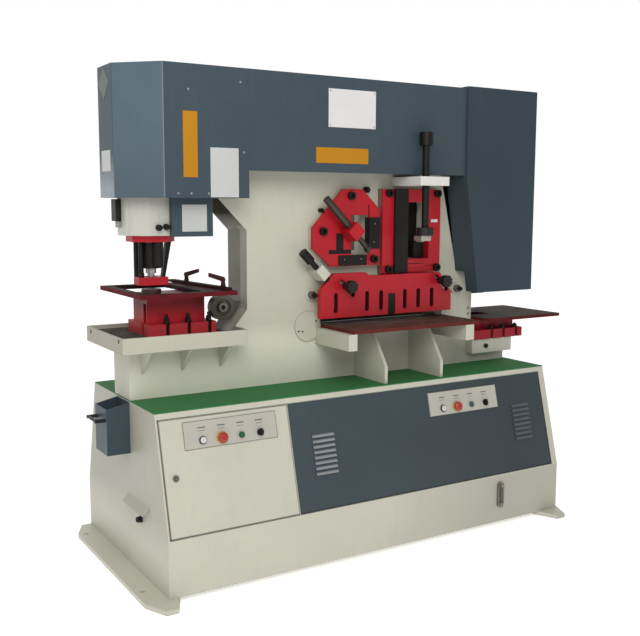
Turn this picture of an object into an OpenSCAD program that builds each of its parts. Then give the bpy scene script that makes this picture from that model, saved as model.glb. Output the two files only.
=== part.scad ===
// Hydraulic ironworker with a punch end, four shearing stations and a welded base cabinet.
// Millimetres. X runs along the machine, the operator stands on the -Y side, Z is up.
// The origin lies on the floor, midway between the two anchor holes of the left foot bar.

/* [Base cabinet] */
// Length of the base cabinet
base_len = 2100; // [2060:5:2160]
// Depth of the cabinet at the floor
base_depth = 996; // [960:2:1030]
// Depth of the cabinet at its top
base_top_depth = 746; // [720:2:770]
// Height of the upright kick plates above the floor
kick_h = 253; // [235:1:270]
// Height of the cabinet top above the floor
base_top = 734; // [715:1:755]
// Sheet thickness of the cabinet walls
wall_t = 8; // [7:0.5:10]
// Thickness of the two foot bars
foot_t = 20; // [16:1:25]
// Width of a foot bar
foot_w = 148; // [140:1:156]
// How far the foot bars stand out in front of the cabinet
foot_reach = 87; // [75:1:100]
// How far the left foot bar stands out past the cabinet end
foot_out_left = 94; // [80:1:105]
// How far the right foot bar stands out past the cabinet end
foot_out_right = 24; // [10:1:35]
// Distance between the anchor holes of the left foot bar
anchor_pitch = 740; // [680:5:780]
// Diameter of an anchor hole
anchor_d = 22; // [18:1:26]
// Thickness of the rubber mat on the cabinet top
mat_t = 4; // [3:0.5:6]

/* [Door, panel and controls] */
// Width of the electrics door
door_w = 582; // [560:2:600]
// Height of the door and the front panel along the sloping front
front_h = 468; // [450:1:474]
// Sheet thickness of the door and the front panel
skin_t = 3; // [2.5:0.5:4]
// Gap around the door and the front panel
front_gap = 5; // [3:0.5:6]
// Depth of the folded rim of the door
door_rim = 20; // [16:1:26]
// Margin between the front panel and the right end of the cabinet
panel_margin = 37; // [30:1:45]
// Number of louvres in each group
louvre_count = 8; // [5:1:9]
// Length of a louvre
louvre_len = 110; // [95:1:125]
// Distance from one louvre to the next
louvre_pitch = 23; // [21:0.5:25]
// Height that a louvre stands out
louvre_rise = 7; // [5:0.5:9]
// Width of a control plate
ctrl_w = 420; // [400:2:436]
// Height of a control plate
ctrl_h = 112; // [104:1:120]
// Distance between the controls on a plate
ctrl_pitch = 86; // [80:1:90]
// Head diameter of an emergency stop
estop_d = 40; // [36:1:44]
// Travel of the push buttons
press_travel = 5; // [4:0.5:6]

/* [Frame] */
// Thickness of each side plate of the frame
plate_t = 60; // [50:1:70]
// Gap between the side plates, where the shear beam swings
beam_gap = 70; // [62:1:80]
// Free space on each side of the shear beam
beam_clear = 2; // [1.5:0.25:3]
// Distance from the left end of the frame to the punch axis
punch_inset = 140; // [135:1:150]
// Throat depth behind the punch axis
throat_depth = 410; // [400:1:425]
// Height of the lower arm above the cabinet top
arm_h = 221; // [212:1:228]
// Height of the upper arm's underside above the cabinet top
upper_arm_h = 851; // [835:1:865]
// Height of the frame above the cabinet top
frame_h = 1256; // [1220:2:1290]
// Distance from the throat's back wall to the beam pivot
pivot_inset = 310; // [300:1:325]
// Height of the beam pivot above the cabinet top
pivot_h = 260; // [250:1:268]
// Diameter of the beam pivot pin
pivot_d = 100; // [80:1:110]
// Diameter of the cover disc on the pivot pin
pivot_cover_d = 138; // [124:1:139]

/* [Covers] */
// Sheet thickness of the covers
cover_t = 3; // [2:0.5:4]
// Half depth of the hood and the middle cover
cover_y = 241; // [230:1:252]
// How far the right cover stands proud of the middle cover
right_proud = 12; // [6:1:20]
// Width of the hood's corner chamfers
hood_chamfer = 156; // [140:1:165]
// Height of the hood
hood_h = 532; // [515:1:550]
// Height of the middle cover
mid_h = 417; // [405:1:425]
// Height of the right cover
right_h = 1000; // [985:1:1010]

/* [Punch station] */
// Size across the flats of the punch cylinder
cyl_af = 248; // [240:1:256]
// Diameter of the punch ram
ram_d = 90; // [70:1:100]
// Stroke of the punch ram
punch_stroke = 32; // [24:1:32]
// Diameter of the ram coupling
coupling_d = 92; // [91:1:96]
// Diameter of the punch
punch_d = 30; // [16:1:36]
// Clearance between punch and die
die_clear = 1; // [0.5:0.25:1.5]
// Length of the punching table along X
ring_len = 428; // [410:2:440]
// Depth of the punching table along Y
ring_depth = 510; // [490:2:530]
// Thickness of the punching table
ring_t = 18; // [14:1:20]
// Height of the drip tray rim
tray_h = 66; // [58:1:72]

/* [Shear stations] */
// Thickness of the angle and section station plates
station_t = 40; // [35:1:45]
// Thickness of the flat bar hold-down plate
holddown_t = 28; // [22:1:32]
// Depth of the flat shear table in front of the frame
table_reach = 290; // [270:1:300]
// Thickness of the flat shear table
table_t = 16; // [14:1:20]
// Length of the flat shear blades
blade_len = 716; // [690:2:720]
// Diameter of the hold-down screws
screw_d = 34; // [30:1:38]
// Diameter of a station bolt head
bolt_head_d = 38; // [34:1:42]
// Length of the notching table along X
notch_len = 515; // [490:5:540]
// Depth of the notching table along Y
notch_depth = 436; // [420:2:450]

/* [Hidden] */
$fn = 48;

// Colours
cream = [0.77, 0.76, 0.69];
blue = [0.29, 0.35, 0.40];
red = [0.72, 0.13, 0.18];
black = [0.10, 0.10, 0.10];
steel = [0.60, 0.60, 0.58];
worn_top = [0.27, 0.19, 0.17];

// Clearances
fit = 0.3;            // radial play of turning and sliding pieces
cut = 1;              // overrun of cuts through a wall
seat_gap = 0.5;       // gap between the shear ram and its seat on the beam

// Base cabinet
base_left = -base_len / 2;
base_right = base_len / 2;
lean = atan((base_depth - base_top_depth) / 2 / (base_top - kick_h));
anchor_edge = 32;
anchor_x = base_left - foot_out_left + anchor_edge;
foot_chamfer_x = 48;
foot_chamfer_y = 106;
bulkhead_t = 6;

// Front of the cabinet: x along the machine, y up the slope, z outwards
front_y0 = 4;
rim_ledge = 14;
door_x0 = base_left + 10;
door_x1 = door_x0 + door_w;
panel_x0 = door_x1 + front_gap;
panel_x1 = base_right - panel_margin;
bulkhead_x = door_x1 - rim_ledge;
ctrl_t = 3;
left_ctrl_x = door_x0 + (door_w - ctrl_w) / 2 + 20;
left_ctrl_y = front_y0 + front_h - ctrl_h - 20;
right_ctrl_x = panel_x0 + 745;
right_ctrl_y = front_y0 + front_h - ctrl_h - 34;
ctrl_first = 80;
ctrl_row = 32;
collar_d = estop_d + 8;
collar_h = 4;
stem_d = 22;
button_d = 26;
selector_d = 30;
louvre_left_x = panel_x0 + 98;
louvre_right_x = panel_x1 - louvre_len - 105;
louvre_y0 = front_y0 + 148;
lock_x = door_x0 + 50;
lock_y = front_y0 + front_h / 2;
lock_d = 26;
gland_y = -207;
gland_z = 259;
gland_d = 24;
gauge_x = panel_x1 - 347;
gauge_z = 155;
gauge_w = 38;
gauge_h = 128;

// Frame
half_gap = beam_gap / 2;
face = half_gap + plate_t;
frame_left = base_left + 2;
punch_x = frame_left + punch_inset;
throat_x = punch_x + throat_depth;
pivot_x = throat_x + pivot_inset;
arm_z = base_top + arm_h;
upper_z = base_top + upper_arm_h;
top_z = base_top + frame_h;
pivot_z = base_top + pivot_h;
nose_r = 150;
nose_x = pivot_x + 993;
nose_z = base_top + 365;
jaw_x = pivot_x + 1221;
jaw_z = base_top + 128;
right_arm_x = pivot_x + 1188;
right_arm_z = base_top + 966;
web_x = pivot_x - 112;
web_bar_h = 150;
beam_y = half_gap - beam_clear;

// Covers
hood_z = base_top + 845;
cover_clear = 20;
cover_top = max(hood_z + hood_h, top_z + cover_t + cover_clear);
hood_x0 = frame_left - 43;
hood_step = throat_x - 59;
mid_z = cover_top - mid_h;
right_y = cover_y + right_proud;
right_top = cover_top + 8;
right_z = right_top - right_h;
right_x0 = pivot_x + 809;
right_x1 = pivot_x + 1260;
right_foot_x = pivot_x + 896;

// Punch station
flange_t = 27;
flange_z = base_top + 662;
flange_af = 188;
cyl_z = flange_z + flange_t;
cyl_top = cyl_z + 470;
punch_tip_z = base_top + 488;
ring_z = base_top + 459 - ring_t;
ring_top = ring_z + ring_t;
ring_x0 = punch_x - 142;
ring_x1 = ring_x0 + ring_len;
ring_bar = 40;
ring_land_x = punch_x + 148;
tray_t = 5;
tray_x0 = frame_left - 74;
tray_x1 = throat_x - 66;
tray_y = 233;
tray_floor = 43;
tray_bar = 56;
bolster_z = arm_z + tray_floor + tray_t;
bolster_foot_h = 50;
bolster_x0 = punch_x - 63;
bolster_x1 = punch_x + 246;
bolster_y = 122;
slot_w = 16;
bolster_slots = [punch_x + 24, punch_x + 121, punch_x + 217];
die_d = 84;
stripper_z = base_top + 478;
stripper_h = 34;
coupling_z = stripper_z + stripper_h + punch_stroke + 5;
coupling_h = flange_z - 3 - coupling_z;
fence_x = punch_x + 239;
fence_turn = 4.8;
fence_y = [-227, 301];
fence_w = 32;
fence_h = 12;
lever_at = [-180, 150];
lever_back = 34;
lever_ahead = 20;
lever_pin_d = 10;

// Shear stations
table_z = base_top + 266;
table_x0 = pivot_x + 70;
table_x1 = table_x0 + 730;
plate_y = face + station_t;
bolt_head_h = 15;
bolt_d = 20;
bolt_depth = 25;
screw_low_d = screw_d - 8;
angle_x0 = pivot_x + 5;
angle_z0 = base_top + 534;
corner_x = pivot_x + 319;
corner_z = base_top + 584;
section_x0 = pivot_x + 394;
section_z0 = base_top + 490;
section_w = 350;
section_h = 403;
section_win = [pivot_x + 531, pivot_x + 673, base_top + 558, base_top + 831];
guide_x = pivot_x + 460;
guide_w = 76;
angle_bolts = [[angle_x0 + 208, angle_z0 + 326], [angle_x0 + 55, angle_z0 + 163], [angle_x0 + 339,
  angle_z0 + 29]];
section_bolts = [for (i = [0, 1]) for (j = [0, 1]) [section_x0 + 36 + i * (section_w - 58),
  section_z0 + 21 + j * (section_h - 40)]];
tie_bolts = [[pivot_x + 15, pivot_z + 145], [pivot_x + 878, pivot_z + 136]];
side_bolts = [[pivot_x + 321, base_top + 889]];
hold_y0 = plate_y + bolt_head_h + 2;
hold_y1 = hold_y0 + holddown_t;
hold_x0 = pivot_x + 22;
hold_z0 = base_top + 299;
hold_w = 763;
hold_h = 206;
knob_d = 58;
stud_d = 16;
knob_at = [[pivot_x + 156, base_top + 446], [pivot_x + 711, base_top + 449]];
flat_axis = [pivot_x + 67, base_top + 475];
block_len = 62;
block_w = 46;
block_off = 20;
swivel_d = 14;
swivel_depth = 14;
angle_axis_y = plate_y + 50;
angle_axis = [pivot_x + 196, base_top + 696];
boss_len = 62;
boss_w = 66;
section_screw_x = pivot_x + 538;
section_screw_y = cover_y + 37;
section_foot_z = base_top + 651;
bracket_x = pivot_x + 560;
bracket_z = base_top + 908;
bracket_t = 42;
bracket_w = 170;
bracket_reach = section_screw_y + 42;
notch_z = base_top + 243;
notch_t = 16;
notch_x0 = nose_x + 2;
notch_win = [pivot_x + 1026, pivot_x + 1160];
notch_half = half_gap + 15;
ram_x = pivot_x + 1068;
seat_z = pivot_z + 316;

module machine() translate([-anchor_x, 0, 0]) children();
module box(x0, x1, y0, y1, z0, z1) translate([x0, y0, z0]) cube([x1 - x0, y1 - y0, z1 - z0]);
module xz_prism(points, y0, y1) translate([0, y1, 0]) rotate([90, 0, 0]) linear_extrude(y1 - y0)
  polygon(points);
module yz_prism(points, x0, x1) translate([x0, 0, 0]) rotate([90, 0, 90]) linear_extrude(x1 - x0)
  polygon(points);
module rod_y(x, z, d, y0, y1) translate([x, y1, z]) rotate([90, 0, 0]) cylinder(d = d, h = y1 - y0);
module rod_x(y, z, d, x0, x1) translate([x0, y, z]) rotate([0, 90, 0]) cylinder(d = d, h = x1 - x0);
// Local x along the machine, y up the sloping front, z outwards from its face
module on_front() translate([0, -base_depth / 2, kick_h]) rotate([90 - lean, 0, 0]) children();
// Local z points down and to the right at 45 degrees in the XZ plane
module down_right(p, y) translate([p[0], -y, p[1]]) rotate([0, 135, 0]) children();

function cabinet_section(t, floor_z) = let(ty = t / cos(lean)) [
  [-base_depth / 2 + t, floor_z], [-base_depth / 2 + t, kick_h], [-base_top_depth / 2 + ty, base_top - t],
  [base_top_depth / 2 - ty, base_top - t], [base_depth / 2 - t, kick_h], [base_depth / 2 - t, floor_z]];

module foot_bar(x0) translate([x0, 0, 0]) linear_extrude(foot_t) polygon([
  [foot_chamfer_x, -base_depth / 2 - foot_reach], [foot_w - foot_chamfer_x, -base_depth / 2 - foot_reach],
  [foot_w, -base_depth / 2 - foot_reach + foot_chamfer_y], [foot_w, base_depth / 2 - foot_chamfer_y],
  [foot_w - foot_chamfer_x, base_depth / 2], [foot_chamfer_x, base_depth / 2],
  [0, base_depth / 2 - foot_chamfer_y], [0, -base_depth / 2 - foot_reach + foot_chamfer_y]]);

// Cut for a skin that lies flush in the sloping front on a ledge
module front_opening(x0, x1) {
  translate([x0 - front_gap / 2, front_y0 - front_gap / 2, -skin_t])
    cube([x1 - x0 + front_gap, front_h + front_gap, skin_t + cut]);
  translate([x0 + rim_ledge, front_y0 + rim_ledge, -3 * wall_t])
    cube([x1 - x0 - 2 * rim_ledge, front_h - 2 * rim_ledge, 3 * wall_t + cut]);
}

module base_cabinet() color(cream) machine() {
  difference() {
    union() {
      difference() {
        yz_prism(cabinet_section(0, foot_t), base_left, base_right);
        yz_prism(cabinet_section(wall_t, foot_t + wall_t), base_left + wall_t, base_right - wall_t);
      }
      intersection() {
        yz_prism(cabinet_section(wall_t, foot_t + wall_t), bulkhead_x, bulkhead_x + bulkhead_t);
        box(bulkhead_x, bulkhead_x + bulkhead_t, -base_depth, base_depth, kick_h - 100, base_top);
      }
      foot_bar(base_left - foot_out_left);
      foot_bar(base_right + foot_out_right - foot_w);
      xz_prism([[base_left, gland_z + 74], [base_left - 30, gland_z + 44], [base_left - 30, gland_z + 42],
        [base_left, gland_z + 70]], gland_y - 93, gland_y + 147);
    }
    on_front() front_opening(door_x0, door_x1);
    on_front() front_opening(panel_x0, panel_x1);
    for (y = [-1, 1]) translate([anchor_x, y * anchor_pitch / 2, -cut]) cylinder(d = anchor_d,
      h = foot_t + 2 * cut);
    rod_x(gland_y, gland_z, gland_d + 2 * fit, base_left - cut, base_left + wall_t + cut);
  }
}

gusset_x = [pivot_x + 264, pivot_x + 588];
gusset_t = 16;
gusset_reach = 255;

module top_mat() color([0.16, 0.42, 0.22]) machine() difference() {
  box(base_left, base_right, -base_top_depth / 2, base_top_depth / 2, base_top, base_top + mat_t);
  box(frame_left - cut, jaw_x + cut, -face - cut, face + cut, base_top - cut, base_top + mat_t + cut);
  for (x = gusset_x)
    box(x - cut, x + gusset_t + cut, -face - gusset_reach - cut, 0, base_top - cut,
      base_top + mat_t + cut);
}

// Pressed louvre, open along its lower edge
module louvre() rotate([90, 0, 90]) linear_extrude(louvre_len)
  polygon([[0, 0], [0, louvre_rise], [2, louvre_rise], [16, 0], [13, 0], [1.6, louvre_rise - 1.6],
    [1.6, 0]]);

module louvres(x0) for (i = [0:louvre_count - 1]) translate([x0, louvre_y0 + i * louvre_pitch, 0])
  louvre();

module louvre_slots(x0) for (i = [0:louvre_count - 1])
  translate([x0 + 2, louvre_y0 + i * louvre_pitch + 3, -skin_t - cut]) cube([louvre_len - 4, 9,
    skin_t + 2 * cut]);

module control_holes(x0, y0, depth) for (i = [1:3])
  translate([x0 + ctrl_first + i * ctrl_pitch, y0 + ctrl_row, -depth]) cylinder(d = button_d + 4,
    h = depth + cut);

module front_cover_panel() color(blue) machine() on_front() {
  difference() {
    translate([panel_x0, front_y0, -skin_t]) cube([panel_x1 - panel_x0, front_h, skin_t]);
    louvre_slots(louvre_left_x);
    louvre_slots(louvre_right_x);
    control_holes(right_ctrl_x, right_ctrl_y, skin_t + cut);
  }
  louvres(louvre_left_x);
  louvres(louvre_right_x);
}

// Control plate with lamp, stop collar, button bezel and selector bezel
module control_plate(x0, y0) translate([x0, y0, 0]) difference() {
  union() {
    cube([ctrl_w, ctrl_h, ctrl_t]);
    translate([ctrl_first, ctrl_row, ctrl_t]) cylinder(d = button_d, h = 7);
    translate([ctrl_first + ctrl_pitch, ctrl_row, ctrl_t]) cylinder(d = collar_d, h = collar_h);
    for (i = [2, 3]) translate([ctrl_first + i * ctrl_pitch, ctrl_row, ctrl_t])
      cylinder(d = button_d + 8, h = collar_h);
  }
  for (i = [1, 3]) translate([ctrl_first + i * ctrl_pitch, ctrl_row, -cut])
    cylinder(d = stem_d + 2 * fit, h = 20);
  translate([ctrl_first + 2 * ctrl_pitch, ctrl_row, -cut]) cylinder(d = button_d + 2 * fit, h = 20);
}

stem_back = 12;
control_top = ctrl_t + collar_h;

module estop(x0, y0) translate([x0 + ctrl_first + ctrl_pitch, y0 + ctrl_row, 0]) {
  translate([0, 0, -stem_back]) cylinder(d = stem_d, h = stem_back + control_top + press_travel + 2);
  translate([0, 0, control_top + press_travel + 1]) cylinder(d = estop_d, h = 7);
  translate([0, 0, control_top + press_travel + 8]) cylinder(d1 = estop_d, d2 = estop_d - 14, h = 6);
}

module start_button(x0, y0) translate([x0 + ctrl_first + 2 * ctrl_pitch, y0 + ctrl_row, -stem_back])
  cylinder(d = button_d, h = stem_back + control_top + press_travel);

module selector(x0, y0) translate([x0 + ctrl_first + 3 * ctrl_pitch, y0 + ctrl_row, 0]) {
  translate([0, 0, -stem_back]) cylinder(d = stem_d, h = stem_back + control_top + 2);
  translate([0, 0, control_top + 1]) cylinder(d = selector_d, h = 6);
  translate([-4, -selector_d / 2, control_top + 7]) cube([8, selector_d, 10]);
}

module right_control_plate() color(steel) machine() on_front() control_plate(right_ctrl_x, right_ctrl_y);
module left_control_plate() color(steel) machine() on_front() control_plate(left_ctrl_x, left_ctrl_y);
module left_estop() color(red) machine() on_front() estop(left_ctrl_x, left_ctrl_y);
module right_estop() color(red) machine() on_front() estop(right_ctrl_x, right_ctrl_y);
module left_start_button() color([0.1, 0.5, 0.25]) machine() on_front() start_button(left_ctrl_x,
  left_ctrl_y);
module right_start_button() color([0.1, 0.5, 0.25]) machine() on_front() start_button(right_ctrl_x,
  right_ctrl_y);
module left_selector() color(black) machine() on_front() selector(left_ctrl_x, left_ctrl_y);
module right_selector() color(black) machine() on_front() selector(right_ctrl_x, right_ctrl_y);

rim_t = 2;
rim_in = rim_ledge + 1;

module cabinet_door() color(cream) machine() on_front() difference() {
  union() {
    translate([door_x0, front_y0, -skin_t]) cube([door_w, front_h, skin_t]);
    translate([door_x0 + rim_in, front_y0 + rim_in, -door_rim])
      difference() {
        cube([door_w - 2 * rim_in, front_h - 2 * rim_in, door_rim - skin_t]);
        translate([rim_t, rim_t, -cut])
          cube([door_w - 2 * rim_in - 2 * rim_t, front_h - 2 * rim_in - 2 * rim_t, door_rim]);
      }
  }
  control_holes(left_ctrl_x, left_ctrl_y, skin_t + cut);
  translate([lock_x, lock_y, -door_rim]) cylinder(d = lock_d / 2 + 2 * fit, h = door_rim + cut);
}

module door_lock() color(steel) machine() on_front() translate([lock_x, lock_y, 0]) {
  translate([0, 0, -15]) cylinder(d = lock_d / 2, h = 16);
  translate([0, 0, fit]) cylinder(d = lock_d, h = 5);
  translate([-3, -lock_d / 2 + 3, 5]) cube([6, lock_d - 6, 6]);
}

plate_z = [kick_h + 45, base_top - 90];
board_y = -base_top_depth / 2 + 130;

module electrics_plate() color(steel) machine() {
  box(base_left + wall_t, bulkhead_x, board_y, board_y + 3, plate_z[0], plate_z[1]);
  for (row = [0, 1]) {
    box(base_left + 60, bulkhead_x - 50, board_y - 10, board_y, plate_z[0] + 75 + row * 160,
      plate_z[0] + 110 + row * 160);
    for (i = [0:4])
      translate([base_left + 80 + i * 85, board_y - 75, plate_z[0] + 50 + row * 160]) cube([60, 65, 85]);
  }
}

tank_x0 = panel_x0 + 300;
tank_x1 = panel_x1 - 30;
tank_top = kick_h - 12;
tank_y1 = 150;
motor_d = 210;
motor_z = tank_top + motor_d / 2 + 10;

module power_unit() color(steel) machine() {
  difference() {
    box(tank_x0, tank_x1, -base_depth / 2 + wall_t, tank_y1, foot_t + wall_t, tank_top);
    box(tank_x0 + 5, tank_x1 - 5, -base_depth / 2 + wall_t + 5, tank_y1 - 5, foot_t + wall_t + 5,
      tank_top - 5);
  }
  rod_x(-100, motor_z, motor_d, tank_x0 + 60, tank_x0 + 400);
  rod_x(-100, motor_z, motor_d / 2, tank_x0 + 400, tank_x0 + 560);
  for (i = [0, 1])
    box(tank_x0 + 110 + i * 180, tank_x0 + 150 + i * 180, -180, -20, tank_top, motor_z - 60);
}

gauge_proud = 10;

module oil_sight_gauge() color(steel) machine() {
  y = -base_depth / 2;
  box(gauge_x - gauge_w / 2, gauge_x + gauge_w / 2, y - gauge_proud, y,
    gauge_z - gauge_h / 2 + gauge_w / 2,
    gauge_z + gauge_h / 2 - gauge_w / 2);
  for (s = [-1, 1]) {
    rod_y(gauge_x, gauge_z + s * (gauge_h - gauge_w) / 2, gauge_w, y - gauge_proud, y);
    rod_y(gauge_x, gauge_z + s * (gauge_h - gauge_w) / 2, gauge_w / 2, y - gauge_proud - 8,
      y - gauge_proud);
  }
}

module cable_gland() color(black) machine() {
  rod_x(gland_y, gland_z, gland_d, base_left, base_left + wall_t);
  translate([base_left - 8, gland_y, gland_z]) rotate([0, 90, 0]) cylinder(d = 30, h = 8, $fn = 6);
  difference() {
    rod_x(gland_y, gland_z, gland_d, base_left - 22, base_left - 8);
    rod_x(gland_y, gland_z, 14, base_left - 23, base_left - 10);
  }
}

bin_x = 100;
bin_y = [-92, 57];
bin_z = base_top - 222;
bin_top = base_top - 26;
bin_rise = 22;
bin_t = 3;

// Bin with a rim that rises towards the cabinet; t shrinks it to the inside
module bin_solid(t, over) xz_prism([[base_left - bin_x + t, bin_z + t], [base_left - t, bin_z + t],
  [base_left - t, bin_top + bin_rise + over], [base_left - bin_x + t, bin_top + over]],
  bin_y[0] + t, bin_y[1] - t);

module slug_bin() color(blue) machine() difference() {
  bin_solid(0, 0);
  bin_solid(bin_t, cut);
}

handle_reach = 36;
handle_bar = 15;
handle_y = [bin_y[0] + 22, bin_y[1] - 22];
handle_z = bin_top - 48;

module bin_handle() color(black) machine() {
  for (y = handle_y) {
    rod_x(y, handle_z, handle_bar, base_left - bin_x - handle_reach - handle_bar / 2, base_left - bin_x);
  }
  rod_y(base_left - bin_x - handle_reach, handle_z, handle_bar - 1, handle_y[0], handle_y[1]);
}

// Outline of the C-shaped frame in the XZ plane
throat_low = [112, 135];
throat_high = [142, 146];
nose_angle = 75;
nose_steps = 5;
shoulder = [pivot_x + 777, right_arm_z];

function left_throat() = [[throat_x - throat_low[0], arm_z], [throat_x, arm_z + throat_low[1]],
  [throat_x, upper_z - throat_high[1]], [throat_x - throat_high[0], upper_z]];

function frame_outline() = concat([[frame_left, base_top], [frame_left, arm_z]], left_throat(),
  [[punch_x, upper_z], [punch_x, top_z], [right_arm_x, top_z], [right_arm_x, right_arm_z], shoulder],
  [for (i = [nose_steps:-1:0]) let(a = i * nose_angle / nose_steps)
    [nose_x - nose_r + nose_r * cos(a), nose_z + nose_r * sin(a)]],
  [[nose_x, jaw_z], [jaw_x, jaw_z], [jaw_x, base_top]]);

function web_outline() = concat([[frame_left, base_top], [frame_left, arm_z]], left_throat(),
  [[punch_x, upper_z], [punch_x, top_z], [web_x, top_z], [web_x, base_top]]);

module octagon(af, z0, z1) translate([punch_x, 0, z0]) rotate([0, 0, 22.5])
  cylinder(d = af / cos(22.5), h = z1 - z0, $fn = 8);

angle_win = [corner_x - 235, corner_x + 3, corner_z - 4, corner_z + 192];

module windows(grow, y0, y1) {
  box(angle_win[0] - grow, angle_win[1] + grow, y0, y1, angle_win[2] - grow, angle_win[3] + grow);
  box(section_win[0] - grow, section_win[1] + grow, y0, y1, section_win[2] - grow, section_win[3] + grow);
}

blade_x0 = table_x0 + 8;
blade_h = 45;
blade_t = 25;
flat_gap = 40;
slot_h = 66;
rear_grow = 30;
table_holes = [for (i = [0:3]) pivot_x + 250 + i * 95];

module front_frame_plate() color(cream) machine() difference() {
  xz_prism(frame_outline(), -face, -half_gap);
  octagon(cyl_af, upper_z - cut, cyl_top);
  windows(0, -face - cut, -half_gap + cut);
  box(blade_x0, blade_x0 + blade_len, -face - cut, -half_gap + cut, table_z, table_z + slot_h);
  box(blade_x0, blade_x0 + blade_len, -half_gap - blade_t, -half_gap + cut, table_z - blade_h,
    table_z + cut);
  rod_y(pivot_x, pivot_z, pivot_d + fit, -face - cut, -half_gap + cut);
  for (p = concat(angle_bolts, section_bolts, tie_bolts, side_bolts)) rod_y(p[0], p[1], bolt_d + fit,
    -face - cut,
    -face + bolt_depth);
  for (p = knob_at) rod_y(p[0], p[1], stud_d + 2 * fit, -face - cut, -face + bolt_depth);
  for (x = table_holes) rod_y(x, table_z - table_t - 26, 14, -face - cut, -face + 15);
  for (z = [-77, -107]) rod_y(nose_x - 19, nose_z + z, 14, -face - cut, -face + 15);
}

module rear_frame_plate() color(cream) machine() difference() {
  union() {
    xz_prism(frame_outline(), half_gap, face);
    xz_prism(web_outline(), -half_gap, half_gap);
    box(web_x, nose_x, -half_gap, half_gap, base_top, base_top + 90);
    box(web_x, right_arm_x, -half_gap, half_gap, top_z - min(web_bar_h, top_z - right_arm_z), top_z);
  }
  octagon(cyl_af, upper_z - cut, cyl_top);
  windows(rear_grow, half_gap - cut, face + cut);
  box(blade_x0 - rear_grow, blade_x0 + blade_len + rear_grow, half_gap - cut, face + cut,
    table_z, table_z + slot_h);
  rod_y(pivot_x, pivot_z, pivot_d + fit, half_gap - cut, face + cut);
  translate([punch_x, 0, base_top - cut]) cylinder(d = 60, h = arm_h + 2 * cut);
}

apron_x0 = punch_x + 38;
apron_x1 = punch_x + 224;
apron_y = 150;
apron_z = base_top + 685;

function hood_plan(t) = let(k = t * tan(22.5), x = hood_x0, c = hood_chamfer, y = cover_y) [
  [hood_step, -y + t], [x + c + k, -y + t], [x + t, -y + c + k],
  [x + t, y - c - k], [x + c + k, y - t], [hood_step, y - t]];

module left_hood() color(blue) machine() difference() {
  union() {
    difference() {
      translate([0, 0, hood_z]) linear_extrude(cover_top - hood_z) polygon(hood_plan(0));
      difference() {
        translate([0, 0, hood_z - cut]) linear_extrude(cover_top - hood_z - cover_t + cut)
          polygon(hood_plan(cover_t));
        box(hood_step - cover_t, hood_step + cut, -cover_y, cover_y, hood_z - cut, mid_z);
        box(apron_x0, hood_step + cut, -cover_y, -face - 1, hood_z - cut, hood_z + cover_t);
      }
      box(hood_step - cover_t - cut, hood_step + cut, -face - 1, face + 1, hood_z - cut, mid_z + cut);
    }
    difference() {
      box(apron_x0, apron_x1, -apron_y, -face - 1, apron_z, hood_z);
      box(apron_x0 + cover_t, apron_x1 - cover_t, -apron_y + cover_t, face, apron_z + cover_t,
        hood_z - cover_t);
    }
  }
  octagon(cyl_af + 2, apron_z - cut, hood_z + 2 * cover_t);
}

module mid_cover() color(blue) machine() difference() {
  box(hood_step, right_x0, -cover_y, cover_y, mid_z, cover_top);
  box(hood_step - cut, right_x0 + cut, -cover_y + cover_t, cover_y - cover_t, mid_z - cut,
    cover_top - cover_t);
}

function right_outline(t) = [[right_x0 + t, right_top - t], [right_x1 - t, right_top - t],
  [right_x1 - t, right_z - (t > 0 ? cut : 0)],
  [right_foot_x + t, right_z - (t > 0 ? cut : 0)], [right_x0 + t, mid_z]];

module right_cover() color(blue) machine() difference() {
  xz_prism(right_outline(0), -right_y, right_y);
  xz_prism(right_outline(cover_t), -right_y + cover_t, right_y - cover_t);
  box(right_x0 - cut, right_x0 + 2 * cover_t, -cover_y + cover_t, cover_y - cover_t, mid_z,
    cover_top - cover_t);
  box(right_x0 - cut, nose_x, -face - 1, face + 1, right_z - cut, mid_z + cut);
  box(right_x0 - cut, right_foot_x + 2 * cover_t, -face - 70, face + 70, right_z - cut, right_z + 100);
}

module punch_cylinder() color(cream) machine() difference() {
  octagon(cyl_af, cyl_z, cyl_top);
  translate([punch_x, 0, cyl_z - cut]) cylinder(d = ram_d + 2 * fit, h = 360);
}

module cylinder_flange() color(red) machine() difference() {
  octagon(flange_af, flange_z, cyl_z);
  translate([punch_x, 0, flange_z - cut]) cylinder(d = ram_d + 2 * fit, h = flange_t + 2 * cut);
}

module punch_ram() color(steel) machine()
  translate([punch_x, 0, coupling_z + coupling_h]) cylinder(d = ram_d, h = 280);

module ram_coupling() color(black) machine() translate([punch_x, 0, coupling_z]) {
  cylinder(d = coupling_d, h = coupling_h);
}

module punch() color(steel) machine() translate([punch_x, 0, punch_tip_z]) {
  cylinder(d = punch_d, h = coupling_z - punch_tip_z);
  translate([0, 0, coupling_z - punch_tip_z - 22]) cylinder(d = punch_d + 16, h = 22);
}

stripper_x = [-66, 60];
stripper_y = 48;
post_d = 22;
guide_at = [8, -70];

module stripper_foot() color(red) machine() translate([punch_x, 0, stripper_z]) difference() {
  linear_extrude(stripper_h) polygon([[stripper_x[0], -stripper_y + 18], [stripper_x[0] + 12,
    -stripper_y],
    [stripper_x[1], -stripper_y], [stripper_x[1], stripper_y], [stripper_x[0] + 12, stripper_y],
    [stripper_x[0], stripper_y - 18]]);
  translate([0, 0, -cut]) cylinder(d = punch_d + 24, h = stripper_h + 2 * cut);
}

module stripper_posts() color(black) machine() translate([punch_x, 0, 0]) {
  top = stripper_z + stripper_h;
  for (y = [-28, 28]) translate([stripper_x[0] + 12, y, top]) cylinder(d = post_d, h = flange_z - top);
  xz_prism([[48, top], [stripper_x[1], top], [90, flange_z], [68, flange_z]], -14, 14);
  translate([guide_at[0], guide_at[1], flange_z - 102]) cylinder(d = 42, h = 102);
}

lever_slot = 13;

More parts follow.
